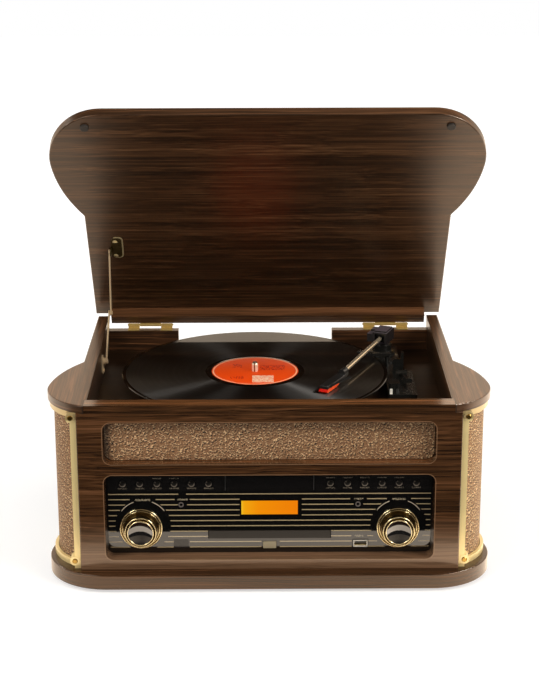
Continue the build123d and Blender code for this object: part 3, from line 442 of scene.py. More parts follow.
def wing_seam(g):
    """The joint at the wings' inner front corners."""
    x, y, _ = g.place_mm()
    return g.mul(g.mul(g.less(g.size(x), 195.5), g.less(y, -135.0)), 0.85)


def frame_top(g):
    """The cast frames' upper bar, in the wings' shade."""
    return g.mul(g.more(g.place_mm()[2], 189.0), 0.55)


def plate_highlights(g):
    """Painted highlights: two lit screw heads on the stay's lid plate, and the plate's bright rim."""
    x, _, z = g.place_mm()
    head_r = 2.739
    dx = g.plus(x, 177.6)
    heads = []
    for height in (313.2, 293.6):
        dz = g.minus(z, height)
        heads.append(g.mul(g.less(g.reach(dx, dz), head_r), g.more(dz, -0.8)))
    plate_rim = g.more(g.outside(g.plus(x, 177.0), g.minus(z, 305.3), 7.0, 13.5, 4.0), 0.0)
    return g.some(*heads, g.mul(plate_rim, 0.6))


# painted highlights round the front panel's windows
tint_where(panel_wood, window_highlight_lines, srgb(150, 116, 86))
tint_where(edge_highlight_wood, window_rounding_highlight, srgb(206, 168, 130))
tint_where(wing_wood, wing_seam, srgb(18, 10, 5))


# Metals and plastics

def metal(name, colour, rough=0.2, stain=0.12, scale=60.0, plated=1.0):
    """Plated or cast metal with faint clouding in its polish; a lacquered one is less than fully metallic."""
    mat, g = material(name)
    cloud = g.cloud(scale)
    g.surface({"Base Color": g.mix(cloud, times(colour, 1 - stain), colour), "Metallic": plated,
               "Roughness": g.scaled(cloud, rough * 0.5, rough * 0.75)})
    return mat


def plastic(name, colour, rough=0.35, grain=900.0, bump=0.08, clearer=0.0, stain=0.15, relief=0.0001,
            ior=None):
    """Moulded plastic, rubber or board with a fine grain; clearer adds a clear coat."""
    mat, g = material(name)
    cloud = g.cloud(90.0)
    g.surface({"Base Color": g.mix(cloud, times(colour, 1 - stain), times(colour, 1 + stain)),
               "Roughness": g.scaled(cloud, rough * 0.3, rough * 0.85),
               "Normal": g.bump(g.cloud(grain, 2, 0.5), bump, relief)})
    if clearer:
        g.surface({"Coat Weight": clearer, "Coat Roughness": 0.05})
    if ior:
        g.surface({"IOR": ior})
    return mat


brass = metal("brass_cast", srgb(250, 226, 162), 0.32, 0.08, plated=0.3)
tint_where(brass, frame_top, srgb(104, 76, 40))
gold = metal("gold_plate", srgb(250, 238, 196), 0.12, 0.12)
shade_gold = metal("gold_shadowed", srgb(120, 100, 64), 0.22, 0.2)
stay_brass = metal("stay_brass", srgb(214, 188, 150), 0.3, 0.08, 200.0, plated=0.35)
# painted highlight on the stay's rounded edges
stay_edge_highlight = metal("stay_edge_highlight", srgb(240, 218, 182), 0.25, 0.1, 200.0, plated=0.3)
stay_plate = metal("stay_plate", srgb(74, 60, 28), 0.3, 0.5, 420.0, plated=0.6)
tint_where(stay_plate, plate_highlights, srgb(236, 218, 168))
hinge_brass = metal("hinge_brass", srgb(230, 200, 124), 0.24, 0.35, 260.0, plated=0.6)
steel = metal("bright_steel", srgb(200, 198, 192), 0.22, 0.15)
# painted highlight on the headshell's rounded edges
shell_edge_highlight = metal("headshell_edge_highlight", srgb(214, 208, 198), 0.25, 0.1, 300.0, plated=0.15)
screw_metal = metal("screw_metal", srgb(170, 138, 74), 0.3, 0.3, 300.0)

black = plastic("black_moulding", srgb(22, 21, 20), 0.3, 1400.0, 0.12)
shell_black = plastic("headshell_black", srgb(9, 8, 8), 0.45, 900.0, 0.05)
dark_grey = plastic("tray_grey", srgb(25, 21, 16), 0.34, 1200.0, 0.06)
rubber = plastic("rubber", srgb(24, 22, 20), 0.6, 1500.0, 0.25)
pad_rubber = plastic("pad_rubber", srgb(38, 33, 29), 0.6, 1500.0, 0.25)
board_brown = plastic("fibreboard", srgb(70, 54, 42), 0.8, 500.0, 0.4, stain=0.3)
circuit_green = plastic("circuit_board", srgb(22, 62, 34), 0.35, 900.0, 0.05)
arm_black = plastic("arm_base_black", srgb(24, 24, 22), 0.16, 330.0, 0.9, 0.5, 0.4, 0.0009)
# painted highlight on the tonearm base's rounded edges
arm_edge_highlight = plastic("arm_base_edge_highlight", srgb(140, 142, 130), 0.25, 600.0, 0.5, 0.2, 0.5, 0.0005)
eject_mat = plastic("eject_champagne", srgb(146, 134, 107), 0.25, 900.0, 0.03)
switch_mat = plastic("switch_ivory", srgb(235, 232, 222), 0.3)
switch_dark = plastic("switch_dark", srgb(52, 52, 50), 0.25)
knob_cap = plastic("knob_cap", srgb(22, 20, 20), 0.06, 900.0, 0.01, 1.0, ior=1.9)


# Tonearm

def tube_material():
    """Bright arm tube whose root, inside the pivot block, is black."""
    mat, g = material("arm_tube_metal")
    x, y, _ = g.place_mm()
    pivot_x, pivot_y = 135.5, 118.0
    lean = math.radians(67.5)
    along = g.plus(g.mul(g.minus(pivot_x, x), math.cos(lean)), g.mul(g.minus(pivot_y, y), math.sin(lean)))
    bare = g.more(along, 10.5)
    g.surface({"Base Color": g.mix(bare, srgb(18, 17, 17), srgb(226, 208, 178)),
               "Metallic": g.mul(bare, 0.75), "Roughness": 0.2})
    return mat


def pivot_material():
    """Black pivot block whose faces that look up are painted paler, as the light falling on its top."""
    mat, g = material("arm_pivot_black")
    cloud = g.cloud(400.0)
    top_light_paint = g.more(g.split(g.normal)[2], 0.6)
    side = g.mix(cloud, srgb(24, 22, 22), srgb(46, 42, 43))
    pale = g.mix(cloud, srgb(84, 76, 82), srgb(104, 94, 100))
    g.surface({"Base Color": g.mix(top_light_paint, side, pale), "Roughness": 0.22})
    return mat


def stylus_material():
    """Orange cartridge with a faint painted glow, and deep red painted as shade on the faces that look left.
    """
    mat, g = material("stylus_orange")
    shaded_left_faces = g.less(g.split(g.normal)[0], -0.1)
    orange = g.mix(g.cloud(120.0, 2, 0.5), srgb(236, 62, 14), srgb(255, 96, 24))
    g.surface({"Base Color": g.mix(shaded_left_faces, orange, srgb(170, 8, 12)), "Roughness": 0.2,
               "Emission Color": srgb(255, 60, 10), "Emission Strength": 0.12})
    return mat


# Keys, sockets and display

KEY_FIRST = 65.0     # the innermost keys' distance from the middle
KEY_PITCH = 18.35
KEY_HEIGHT = 111.2


def key_phase(g, x):
    """Runs from 0 to 1 across each key's share of the row, away from the middle."""
    return g.fract(g.over(g.minus(g.size(x), KEY_FIRST - KEY_PITCH / 2), KEY_PITCH))


def button_material():
    """Black push buttons with painted highlights: a crescent on the moulded rim at the foot, and a small dot
    at the upper left.
    """
    mat, g = material("button_black")
    x, _, z = g.place_mm()
    bx = g.mul(g.mul(g.minus(key_phase(g, x), 0.5), KEY_PITCH), g.math("SIGN", x))
    bz = g.minus(z, KEY_HEIGHT)

    def away(cx, cz):
        return g.reach(g.minus(bx, cx), g.minus(bz, cz))

    crescent = g.every(g.more(away(-0.2, 0.6), 2.75), g.less(away(0, 0), 3.4), g.less(bz, 0.6))
    dot = g.less(away(-1.9, 1.9), 0.6)
    lit = g.most(crescent, g.mul(dot, 0.8))
    g.surface({"Base Color": g.mix(lit, srgb(11, 10, 9), srgb(112, 103, 92)), "Roughness": 0.5,
               "Specular IOR Level": 0.2})
    return mat


def socket_material():
    """Black sockets: grey jack rims, and a bright metal shell with a pale tongue in the wide socket."""
    mat, g = material("socket_black")
    x, y, z = g.place_mm()
    wide_x = 97.8
    front = g.less(y, -136.3)
    jack = g.mul(g.near(g.size(x), 94.7, 3.2), g.near(z, 87.2, 3.2))
    shell = g.mul(g.near(x, wide_x, 7.7), g.near(z, 41.4, 3.9))
    tongue = g.every(g.near(x, wide_x, 6.7), g.between(z, 38.0, 40.9), g.less(y, -125.0))
    colour = g.mix(g.mul(jack, front), srgb(13, 12, 12), srgb(104, 96, 92))
    colour = g.mix(g.mul(shell, front), colour, srgb(206, 200, 186))
    colour = g.mix(g.mul(tongue, g.flip(front)), colour, srgb(214, 190, 140))
    g.surface({"Base Color": colour, "Roughness": 0.25})
    return mat


def display_material():
    """Lit orange window, yellower at its left edge; the receiver window beside it stays dark."""
    mat, g = material("display_glow")
    x = g.place_mm()[0]
    half_width = 30.2
    lit = g.more(x, -50.0)
    across = g.over(g.plus(x, half_width), 2 * half_width, clamp=True)
    glow = g.ramp(across, tones((0.0, (255, 206, 40)), (0.05, (255, 176, 12)), (0.3, (255, 152, 0)),
                                (1.0, (252, 134, 0))))
    g.surface({"Base Color": g.mix(lit, srgb(26, 23, 22), srgb(60, 24, 4)), "Emission Color": glow,
               "Emission Strength": g.mul(lit, 0.84),
               "Roughness": g.scaled(g.cloud(300.0, 2, 0.5), 0.06, 0.1)})
    return mat


# Control plate: printed lines, arcs over the knobs, the strip above and the centre plate

LINE_PITCH = 6.13
LINE_HALF = 0.56
LINE_TOP = 99.3          # the highest printed line
STRIP_FOOT = 102.9       # the plain strip starts here
PLATE_MIDDLE = 1.2
RING_X, RING_Z = 136.9, 64.0     # middle of the clear rounds about the knobs, each side of the plate's middle

# where the lines stop for sockets, display, tray and words: left, right, lower and upper edge
LINE_GAPS = (
    (-97.5, -89.1, 97.3, 101.3), (-149.5, -121.8, 91.2, 95.2), (-101.5, -85.5, 91.2, 95.2),
    (-32.2, 34.5, 72.8, 95.2), (86.2, 104.2, 91.2, 95.2), (125.5, 151.4, 91.2, 95.2),
    (-98.2, -88.2, 85.0, 89.0), (90.0, 100.4, 85.0, 89.0), (-64.2, 66.2, 48.3, 58.4),
    (87.8, 105.1, 48.3, 52.2), (-102.4, -85.9, 36.0, 46.0), (-8.9, 10.9, 36.0, 46.0),
    (88.4, 104.7, 36.0, 46.0))

# broken fine marks stand in for printed words
WORD_MARKS = ((-144.1, -127.5, 91.6, 93.8), (130.8, 145.8, 91.6, 93.8), (-98.8, -87.5, 92.2, 94.0),
              (90.4, 100.4, 92.2, 94.0), (91.8, 101.1, 49.3, 51.3))


def plate_material():
    """Gloss black plate with its printing on the front face only."""
    mat, g = material("control_plate")
    x, y, z = g.place_mm()
    aside = g.size(x)
    beside = g.minus(g.size(g.minus(x, PLATE_MIDDLE)), RING_X)
    above = g.minus(z, RING_Z)
    radius = g.reach(beside, above)

    phase = g.fract(g.over(g.minus(LINE_TOP + LINE_PITCH / 2, z), LINE_PITCH))
    lines = g.every(g.near(phase, 0.5, LINE_HALF / LINE_PITCH), g.between(z, 36.5, 101.0),
                    g.between(x, -172.8, 175.1), g.more(radius, 29.9), g.flip(g.in_boxes(x, z, LINE_GAPS)))
    arc = g.every(g.near(radius, 28.0, 0.45), g.more(above, 10.0), g.between(g.size(beside), 9.8, 22.9))

    wear_and_sheen = g.more(g.cloud((1400.0, 1.0, 900.0), 1, 0.5), 0.48)
    marks = g.mul(g.in_boxes(x, z, WORD_MARKS), wear_and_sheen)
    lower_row = g.near(z, 105.9, 0.8)
    upper_row = g.mul(g.near(z, 117.4, 0.6), g.most(g.between(x, 57.0, 149.0), g.between(x, -128.0, -95.0)))
    ticks = g.every(g.most(lower_row, upper_row), g.near(key_phase(g, x), 0.5, 0.27),
                    g.between(aside, 57.0, 165.0), wear_and_sheen)
    edge = g.mul(g.between(aside, 46.9, 47.6), g.more(z, 103.6))

    strip = g.more(z, STRIP_FOOT)
    colour = g.mix(strip, srgb(9, 8, 7), srgb(17, 15, 14))
    for where, tint in ((lines, srgb(168, 150, 116)), (arc, srgb(180, 168, 148)), (ticks, srgb(112, 102, 88)),
                        (marks, srgb(158, 146, 122)), (edge, srgb(70, 68, 66))):
        colour = g.mix(where, colour, tint)
    colour = g.mix(g.less(y, -136.6), srgb(14, 13, 12), colour)
    dust = g.cloud(40.0)
    g.surface({"Base Color": colour, "IOR": 1.7,
               "Roughness": g.plus(g.mul(dust, 0.03), g.scaled(strip, 0.12, 0.02))})
    return mat


# Speaker cloth

SLOT_DEPTH = (-0.1428, -0.1426)      # the middle cloth lies between these y values, in metres
RIGHT_CORNER = 0.19                  # the right corner's cloth lies past this x, in metres


def cloth_material():
    """Speaker cloth: tan weave under short pale curls of thread, partly painted highlight, each with a small
    painted shadow beside it.
    """
    mat, g = material("speaker_cloth")
    uv = g.add("UVMap", uv_map="cloth").outputs[0]
    wander = g.add("TexNoise", {"Vector": g.place(uv, (300, 300, 1)), "Scale": 1.0, "Detail": 1.0})
    bend = g.add("VectorMath", {0: wander.outputs["Color"], 3: 0.0035}, operation="SCALE")
    bent = g.moved(uv, bend)

    def curls(threshold, shift):
        """Threads that lie two ways across each other."""
        layers = []
        for turn, seed in ((40, 0.0), (-28, 7.3)):
            lying = g.add("Mapping", {"Vector": g.moved(bent, shift),
                                      "Rotation": (0, 0, math.radians(turn))})
            thread = g.noise(g.place(lying, (360, 760, 1), (seed, seed, 0)), 1, 0.5)
            layers.append(g.ramp(thread, tones((threshold, 0), (threshold + 0.04, 1))))
        return g.most(*layers)

    # pale curls of thread, partly painted highlight, and beside each a painted shadow
    bright = curls(0.615, (0, 0, 0))
    dark = g.mul(curls(0.585, (-0.0007, 0.0013, 0)), g.flip(bright))
    weave = g.noise(g.place(uv, (1300, 1300, 1)), 2, 0.6)
    colour = g.ramp(weave, tones((0.3, (114, 77, 48)), (0.5, (140, 100, 66)), (0.72, (162, 120, 83))))
    colour = g.mix(dark, colour, srgb(26, 14, 7))
    colour = g.mix(g.mul(bright, 0.9), colour, srgb(236, 200, 152))

    # the middle cloth lies back in its slot: painted shade at its left end, under the upper lip and faintly
    # towards its right end
    x, y, z = g.split(g.coord)
    shade = g.ramp(g.scaled(x, 2.5, 0.5), [
        (0.064, grey(0.2)), (0.074, (0.34, 0.32, 0.31, 1)), (0.084, grey(1)), (0.45, grey(0.98)),
        (0.9, (0.84, 0.83, 0.8, 1))])
    shade = g.shaded(shade, g.ramp(g.mul(z, 5.0), tones((0.9, 1), (0.925, 0.55))))
    colour = g.mix(g.between(y, *SLOT_DEPTH), colour, g.shaded(colour, shade))
    # painted light: the right corner's cloth is made paler
    colour = g.mix(g.more(x, RIGHT_CORNER), colour, g.shaded(colour, (1.36, 1.42, 1.38, 1)))

    height = g.plus(g.minus(bright, dark), g.mul(weave, 0.5))
    g.surface({"Base Color": colour, "Roughness": 0.7, "Sheen Weight": 0.25, "Sheen Roughness": 0.4,
               "Sheen Tint": srgb(226, 196, 150), "Normal": g.bump(height, 0.5, 0.0005)})
    return mat


cloth_mat = cloth_material()


# Record, label and platter

SPINDLE = (-15.4, 24.5)
RECORD_TOP = 184.0
GROOVES = (56.0, 146.6)      # inner and outer radius


def around_spindle(g):
    """Offsets in millimetres from the record's centre, and the distance from it."""
    x, y, _ = g.place_mm()
    dx = g.minus(x, SPINDLE[0])
    dy = g.minus(y, SPINDLE[1])
    return dx, dy, g.reach(dx, dy)


def vinyl_material():
    """Record: fine turned grooves that draw light out across them, with smoother gaps between the tracks."""
    mat, g = material("vinyl")
    dx, dy, r = around_spindle(g)
    fine = g.noise(g.add("CombineXYZ", {0: g.mul(r, 1.6)}), 3, 0.7)
    track = g.noise(g.add("CombineXYZ", {0: g.mul(r, 0.16), 1: 4.0}), 2, 0.5)
    cut = g.between(r, *GROOVES)
    tone = g.plus(g.mul(fine, 0.6), g.mul(track, 0.4))
    radial = g.add("VectorMath", {0: g.add("CombineXYZ", {0: dx, 1: dy})}, operation="NORMALIZE")
    rim = g.more(r, GROOVES[1])
    lit_rim = g.mul(rim, g.less(dx, -90.0))
    coat = g.mul(g.scaled(tone, 0.55, 0.27), g.flip(rim))
    g.surface({"Base Color": g.ramp(tone, tones((0.35, (4, 3, 2)), (0.65, (13, 10, 8)))),
               "Roughness": g.most(g.mul(cut, g.scaled(tone, 0.3, 0.33)), 0.12),
               "Anisotropic": cut, "Tangent": radial, "Specular IOR Level": 0.24,
               "Coat Weight": g.plus(coat, lit_rim), "Coat Roughness": 0.03, "Coat IOR": 1.45})
    return mat


def platter_material():
    """Black platter whose middle spindle is bright metal, with painted reflections: a dark streak down it and
    a dark crown.
    """
    mat, g = material("platter_and_spindle")
    dx, _, r = around_spindle(g)
    z = g.place_mm()[2]
    pin = g.mul(g.less(r, 3.7), g.more(z, RECORD_TOP))
    # painted reflection: the spindle's crown and a streak down it are darker
    crown = g.mul(pin, g.more(z, 193.6))
    dark_reflection_streak = g.near(dx, -0.4, 0.75)
    tone = g.mix(dark_reflection_streak, srgb(248, 232, 205), srgb(128, 84, 54))
    tone = g.mix(crown, tone, srgb(96, 80, 66))
    g.surface({"Base Color": g.mix(pin, srgb(14, 13, 12), tone), "Metallic": g.mul(pin, 0.4),
               "Roughness": g.scaled(pin, 0.1, 0.15)})
    return mat


def label_material():
    """Plain orange paper label with a pale rim ring and broken red and pale patches in place of print."""
    mat, g = material("paper_label")
    dx, dy, r = around_spindle(g)
    fibre = g.cloud(700.0)
    ring = g.near(r, 47.4, 0.7)
    broken = g.more(g.cloud((620.0, 260.0, 1.0), 2, 0.5), 0.5)
    red = g.mul(g.in_boxes(dx, dy, ((6, 34, 2, 20), (-26, -15, 12, 24), (-28, -13, -28, -20))), broken)
    speckle = g.more(g.cloud((500.0, 500.0, 1.0), 1, 0.5), 0.52)
    patch = g.mul(g.in_boxes(dx, dy, ((-3, 21, -41, -17),)), g.scaled(speckle, -0.55, 0.85))
    colour = g.mix(fibre, srgb(228, 64, 4), srgb(242, 82, 8))
    colour = g.mix(red, colour, srgb(178, 22, 6))
    colour = g.mix(patch, colour, srgb(244, 214, 182))
    colour = g.mix(g.mul(ring, 0.9), colour, srgb(250, 200, 160))
    g.surface({"Base Color": colour, "Roughness": 0.5, "Specular IOR Level": 0.15,
               "Normal": g.bump(fibre, 0.1, 0.00005)})
    return mat


# CAD nodes that keep their shape

for names, mat in (
    (("lid_board",), lid_wood), (("lid_rail",), rail_wood), (("front_panel",), panel_wood),
    (("plinth",), plinth_wood), (("wing_left", "wing_right"), wing_wood),
    (("side_wall_left", "side_wall_right"), wall_wood), (("rear_wall",), rear_wood), (("deck",), deck_wood),
    (("speaker_baffles",), board_brown), (("brass_frame_left", "brass_frame_right"), brass),
    (("fascia",), plate_material()), (("display_windows",), display_material()),
    (("sockets",), socket_material()), (("control_board",), circuit_green), (("eject_button",), eject_mat),
    (("cd_tray",), dark_grey), (("cd_mechanism", "speaker_drivers", "motor"), black),
    (("motor_pulley",), steel), (("platter",), platter_material()),
    (("drive_belt", "rubber_feet"), rubber), (("lid_bumpers",), pad_rubber),
    (("tonearm_base", "cue_lever"), arm_black), (("headshell",), shell_black),
    (("tonearm_pivot",), pivot_material()), (("tonearm_tube",), tube_material()),
    (("cartridge",), stylus_material()), (("speed_switch",), switch_mat),
    (("auto_stop_switch",), switch_dark), (("hinge_fixed_leaves", "hinge_lid_leaves"), hinge_brass),
    (("frame_screws",), screw_metal), (("stay_lid_bracket",), stay_plate),
    (("stay_wall_bracket", "stay_upper_link", "stay_lower_link"), stay_brass),
    (tuple(f"button_{i:02d}" for i in range(1, 13)), button_material()),
    (("volume_knob", "tuning_knob"), gold), (("record",), vinyl_material()),
):
    for name in names:
        dress(name, mat)

for names, width, rim in (
    (("front_panel",), 0.8, edge_highlight_wood), (("lid_rail",), 0.7, edge_highlight_wood),
    (("rear_wall", "side_wall_left", "side_wall_right"), 0.5, None), (("fascia", "cd_tray"), 0.3, None),
    (("tonearm_base",), 0.4, arm_edge_highlight), (("headshell",), 0.45, shell_edge_highlight),
    (("tonearm_pivot", "brass_frame_left", "brass_frame_right"), 0.4, None),
    (("stay_lid_bracket", "stay_wall_bracket"), 0.4, stay_edge_highlight),
    (("stay_upper_link", "stay_lower_link"), 0.3, stay_edge_highlight),
    (("hinge_fixed_leaves", "hinge_lid_leaves"), 0.3, None),
):
    for name in names:
        soften(name, width, rim)


# Speaker cloths

WALL_X = 202.6                       # the sweep behind each corner ends on the side wall
CORNER = Vector((171.5, -93.5))      # middle of the round front corner in plan
CLOTH_R = 59.5
SWEEP_END = -6.0 - 1.84 * (64 - CLOTH_R)
ROUND_STEPS, SWEEP_STEPS = 40, 24


def corner_curve():
    """Plan points along the right-hand speaker corner: round at the front, then a sweep to the wall."""
    past = math.radians(10)
    start = -math.acos((WALL_X - CORNER.x) / CLOTH_R)
    points = []
    for i in range(ROUND_STEPS + 1):
        a = start + (past - start) * i / ROUND_STEPS
        points.append(CORNER + Vector((CLOTH_R * math.cos(a), CLOTH_R * math.sin(a))))
    end = points[-1]
    target = Vector((WALL_X, SWEEP_END))
    chord = target - end
    normal = Vector((-math.cos(past), -math.sin(past)))
    big = chord.length_squared / (2 * chord.dot(normal))
    centre = end + normal * big
    a0 = math.atan2(end.y - centre.y, end.x - centre.x)
    a1 = math.atan2(target.y - centre.y, target.x - centre.x)
    for i in range(1, SWEEP_STEPS + 1):
        a = a0 + (a1 - a0) * i / SWEEP_STEPS
        points.append(centre + Vector((math.cos(a), math.sin(a))) * abs(big))
    return points


def cloth_sheet(name, points, places, columns, replaced):
    """A stretched cloth from rows of points in millimetres, and their places along and up it in metres."""
    rows = len(points) // columns
    faces = []
    for j in range(rows - 1):
        for i in range(columns - 1):
            low, high = j * columns + i, (j + 1) * columns + i
            faces.append((low, low + 1, high + 1, high))
    mesh = bpy.data.meshes.new(name)
    mesh.from_pydata([tuple(c * MM for c in p) for p in points], [], faces)
    uv = mesh.uv_layers.new(name="cloth")
    for loop in mesh.loops:
        uv.data[loop.index].uv = places[loop.vertex_index]
    mesh.shade_smooth()
    mesh.materials.append(cloth_mat)
    obj = new_object(name, mesh)
    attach(obj, "case")
    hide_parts(replaced)


def corner_cloth(name, columns, replaced):
    """Cloth round a speaker corner, over plan points."""
    foot, height, steps = 20.6, 175.6, 40
    along = [0.0]
    for a, b in zip(columns, columns[1:]):
        along.append(along[-1] + (b - a).length)
    points = [(p.x, p.y, foot + height * j / steps) for j in range(steps + 1) for p in columns]
    places = [(run * MM, height * j / steps * MM) for j in range(steps + 1) for run in along]
    cloth_sheet(name, points, places, len(columns), replaced)


def middle_cloth():
    """Flat cloth in the front slot, cut with round corners."""
    half_w, half_h, corner, slot_y, mid = 174.4, 22.4, 8.0, -142.7, 163.25
    columns, rows = 140, 20
    points, places = [], []
    for j in range(rows + 1):
        v = -half_h + 2 * half_h * j / rows
        into_corner = max(0.0, abs(v) - (half_h - corner))
        w = half_w - corner + math.sqrt(max(0.0, corner * corner - into_corner * into_corner))
        for i in range(columns + 1):
            u = -w + 2 * w * i / columns
            points.append((u, slot_y, mid + v))
            places.append((u * MM + 0.5, v * MM))
    cloth_sheet("middle_cloth", points, places, columns + 1, "grille_cloth_front")


right_curve = corner_curve()
corner_cloth("corner_cloth_right", right_curve, "grille_cloth_right")
corner_cloth("corner_cloth_left", [Vector((-p.x, p.y)) for p in right_curve], "grille_cloth_left")
middle_cloth()


# Record label

LABEL_HOLE, LABEL_R, LABEL_TOP = 3.7, 49.6, 184.22

label_profile = [(LABEL_HOLE, LABEL_TOP), (LABEL_R - 0.4, LABEL_TOP), (LABEL_R, LABEL_TOP - 0.17)]
label_shape = turned(label_profile, at(*SPINDLE, 0), 128)
add_mesh("record_label", label_shape, label_material(), "turntable")


# Knobs

KNOB_X, KNOB_Z = 138.0, 60.1
PLATE_FACE = 137.3       # how far the control plate's face lies in front of the origin


def arc(cr, cz, radius, a0, a1, steps):
    """Profile points on an arc about (cr, cz), between two angles in degrees."""
    angles = [math.radians(a0 + (a1 - a0) * i / steps) for i in range(steps + 1)]
    return [(cr + radius * math.cos(a), cz + radius * math.sin(a)) for a in angles]


def make_knob(name, x, node):
    """Gold rings and sloping sides about a dished black cap, with the shaft behind.

    A profile point is a radius and how far it lies in front of the origin."""
    place = at(x, 0, KNOB_Z) @ FACE_FRONT
    f = PLATE_FACE

    def piece(part, profiles, segments, mat, sharp=40):
        shape = merge([turned(profile, place, segments) for profile in profiles])
        return add_mesh(f"{name}_{part}", shape, mat, name, sharp)

    rings = ([(3.0, f), (22.1, f)] + arc(22.15, f + 1.2, 0.75, -40, 160, 10) + [(21.2, f + 0.7)],
             arc(19.8, f + 1.0, 0.5, 10, 170, 6), arc(16.5, f + 12.1, 0.7, -30, 170, 8),
             arc(13.7, f + 13.9, 0.6, -20, 175, 8))
    sides = ([(21.2, f + 0.7), (20.4, f + 0.7), (20.3, f + 1.1)],
             [(19.3, f + 1.1), (18.8, f + 1.9), (18.1, f + 5.5), (17.2, f + 11.7)],
             [(15.8, f + 12.2), (15.2, f + 11.7), (14.7, f + 12.1), (14.3, f + 13.7)])
    shell = piece("shell", rings, 128, gold, 50)
    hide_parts(node)
    piece("side", sides, 128, shade_gold, 50)

    cap_r, cap_depth, cap_rim = 13.1, 4.4, f + 13.9
    dish = [(cap_r * t / 12, cap_rim - cap_depth * (1 - (t / 12) ** 2)) for t in range(12, 0, -1)]
    dish.append((0.05, cap_rim - cap_depth))
    piece("cap", [dish], 96, knob_cap)
    piece("shaft", [[(3.0, f - 20.0), (3.0, f)]], 32, steel)


make_knob("volume", -KNOB_X, "volume_knob")
make_knob("tuning", KNOB_X, "tuning_knob")


# Camera, as solved from the photo

EYE = (-0.008935, -1.952754, 0.841759)
PITCH, YAW, ROLL = math.radians(17.749), math.radians(0.309), math.radians(-0.134)
FOCAL_PIXELS = 1830.78
PICTURE_WIDTH_PIXELS = 540
SENSOR_WIDTH = 36.0

cam_data = bpy.data.cameras.new("camera")
cam = new_object("camera", cam_data)
forward = Vector((math.sin(YAW) * math.cos(PITCH), math.cos(YAW) * math.cos(PITCH), -math.sin(PITCH)))
right = Vector((math.cos(YAW), -math.sin(YAW), 0))
up = right.cross(forward)
right, up = right * math.cos(ROLL) + up * math.sin(ROLL), up * math.cos(ROLL) - right * math.sin(ROLL)
cam.matrix_world = at(*EYE) @ Matrix((right, up, -forward)).transposed().to_4x4()
cam_data.sensor_fit = "HORIZONTAL"
cam_data.sensor_width = SENSOR_WIDTH
cam_data.lens = SENSOR_WIDTH * FOCAL_PIXELS / PICTURE_WIDTH_PIXELS
cam_data.clip_end = 20
bpy.context.scene.camera = cam


# Floor and surroundings

WARM_WHITE = (1.0, 0.8, 0.6, 1.0)
NEAR_BAND = -0.266       # mirrors see the floor bright behind this y, in metres, and dark in front of it


def mirror_ray(g):
    path = g.add("LightPath")
    return g.most(path.outputs["Is Glossy Ray"], path.outputs["Is Transmission Ray"])


def camera_ray(g):
    return g.add("LightPath").outputs["Is Camera Ray"]


def floor_material():
    """Pale floor that shows white and keeps the object's shadow; mirrors see its front part dark."""
    mat, g = material("floor_pale")
    x, y, _ = g.split(g.coord)
    seen, mirror = camera_ray(g), mirror_ray(g)
    near = g.more(y, NEAR_BAND)
    away = g.add("VectorMath", {0: g.coord}, operation="LENGTH").outputs["Value"]
    plain = g.ramp(g.mul(away, 0.5), tones((0.25, 0.585), (0.6, 0.82)))
    side = g.ramp(g.plus(x, 0.5), tones((0.2, 1.75), (0.5, 1.5), (0.62, 1.6), (0.75, 2.8)))
    g.surface({"Base Color": grey(0.5), "Roughness": 1.0, "Specular IOR Level": 0.0,
               "Emission Color": g.mix(seen, WARM_WHITE, grey(1)),
               "Emission Strength": g.plus(g.mul(seen, plain), g.mul(g.mul(mirror, near), side))})
    dark = g.add("BsdfDiffuse", {"Color": grey(0.02)})
    far = g.mul(mirror, g.flip(near))
    g.put(g.out.inputs[0], g.add("MixShader", {0: far, 1: g.surf.outputs[0], 2: dark.outputs[0]}))
    return mat


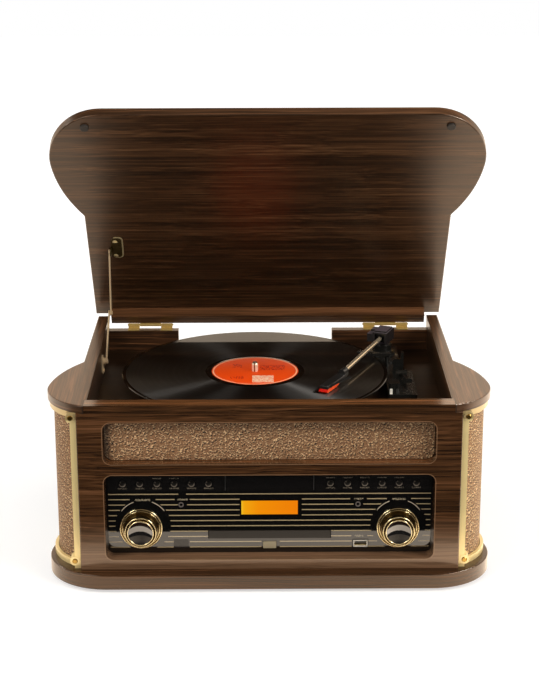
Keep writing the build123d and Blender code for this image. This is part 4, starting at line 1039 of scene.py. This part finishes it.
mesh = bpy.data.meshes.new("floor")
mesh.from_pydata([(-4, -4, 0), (4, -4, 0), (4, 4, 0), (-4, 4, 0)], [], [(0, 1, 2, 3)])
mesh.materials.append(floor_material())
floor = new_object("floor", mesh)


def light_world(world):
    """White to the camera, a soft even light on the object, and a warm room in its mirrors."""
    w = Graph(world.node_tree)
    x, y, z = w.split(w.direction)
    room = w.ramp(w.scaled(y, 0.5, 0.5), tones((0.0, 0.25), (0.38, 0.6), (0.5, 1.0), (1.0, 1.4)))
    room = w.shaded(room, WARM_WHITE)
    room = w.shaded(room, w.ramp(w.plus(x, 0.5), tones((0.35, 1), (0.62, 1.35))))
    room = w.shaded(room, w.ramp(z, tones((0.4, 1), (0.65, 0.15))))
    level = w.mix(mirror_ray(w), grey(0.42), room)
    level = w.mix(camera_ray(w), level, grey(1))
    w.put(w.add("OutputWorld").inputs[0], w.add("Background", {"Color": level, "Strength": 1.0}))


world = bpy.data.worlds.new("studio")
bpy.context.scene.world = world
world.use_nodes = True
light_world(world)


# Lamps

LAMP_TONE = (1.0, 0.94, 0.86)


def lamp(name, place, target, size, power):
    data = bpy.data.lights.new(name, "AREA")
    data.shape = "RECTANGLE"
    data.size, data.size_y = size
    data.energy = power
    data.color = LAMP_TONE
    obj = new_object(name, data)
    obj.location = place
    obj.rotation_euler = (Vector(target) - Vector(place)).to_track_quat("-Z", "Y").to_euler()
    return obj


lamp("key", (-1.6, -1.3, 1.8), (0, 0, 0.15), (1.2, 0.9), 28)
lamp("fill", (1.8, -1.2, 1.5), (0, 0, 0.15), (1.1, 0.8), 38)
lamp("top", (0.0, 0.3, 2.2), (0, 0, 0.1), (1.6, 1.2), 18).visible_glossy = False

# two small lamps seen only as reflections draw the bright wedges across the record's grooves
STREAK_AWAY = 2.0
record_middle = Vector((0.0, 0.0, RECORD_TOP * MM))
for name, toward, power in (("streak_right", (0.76, 0.02, 0.65), 46),
                            ("streak_left", (-0.8, 0.36, 0.48), 9)):
    spot = record_middle + Vector(toward) * STREAK_AWAY
    lamp(name, spot, record_middle, (0.3, 0.3), power).visible_diffuse = False

bpy.context.scene.view_settings.view_transform = "Standard"
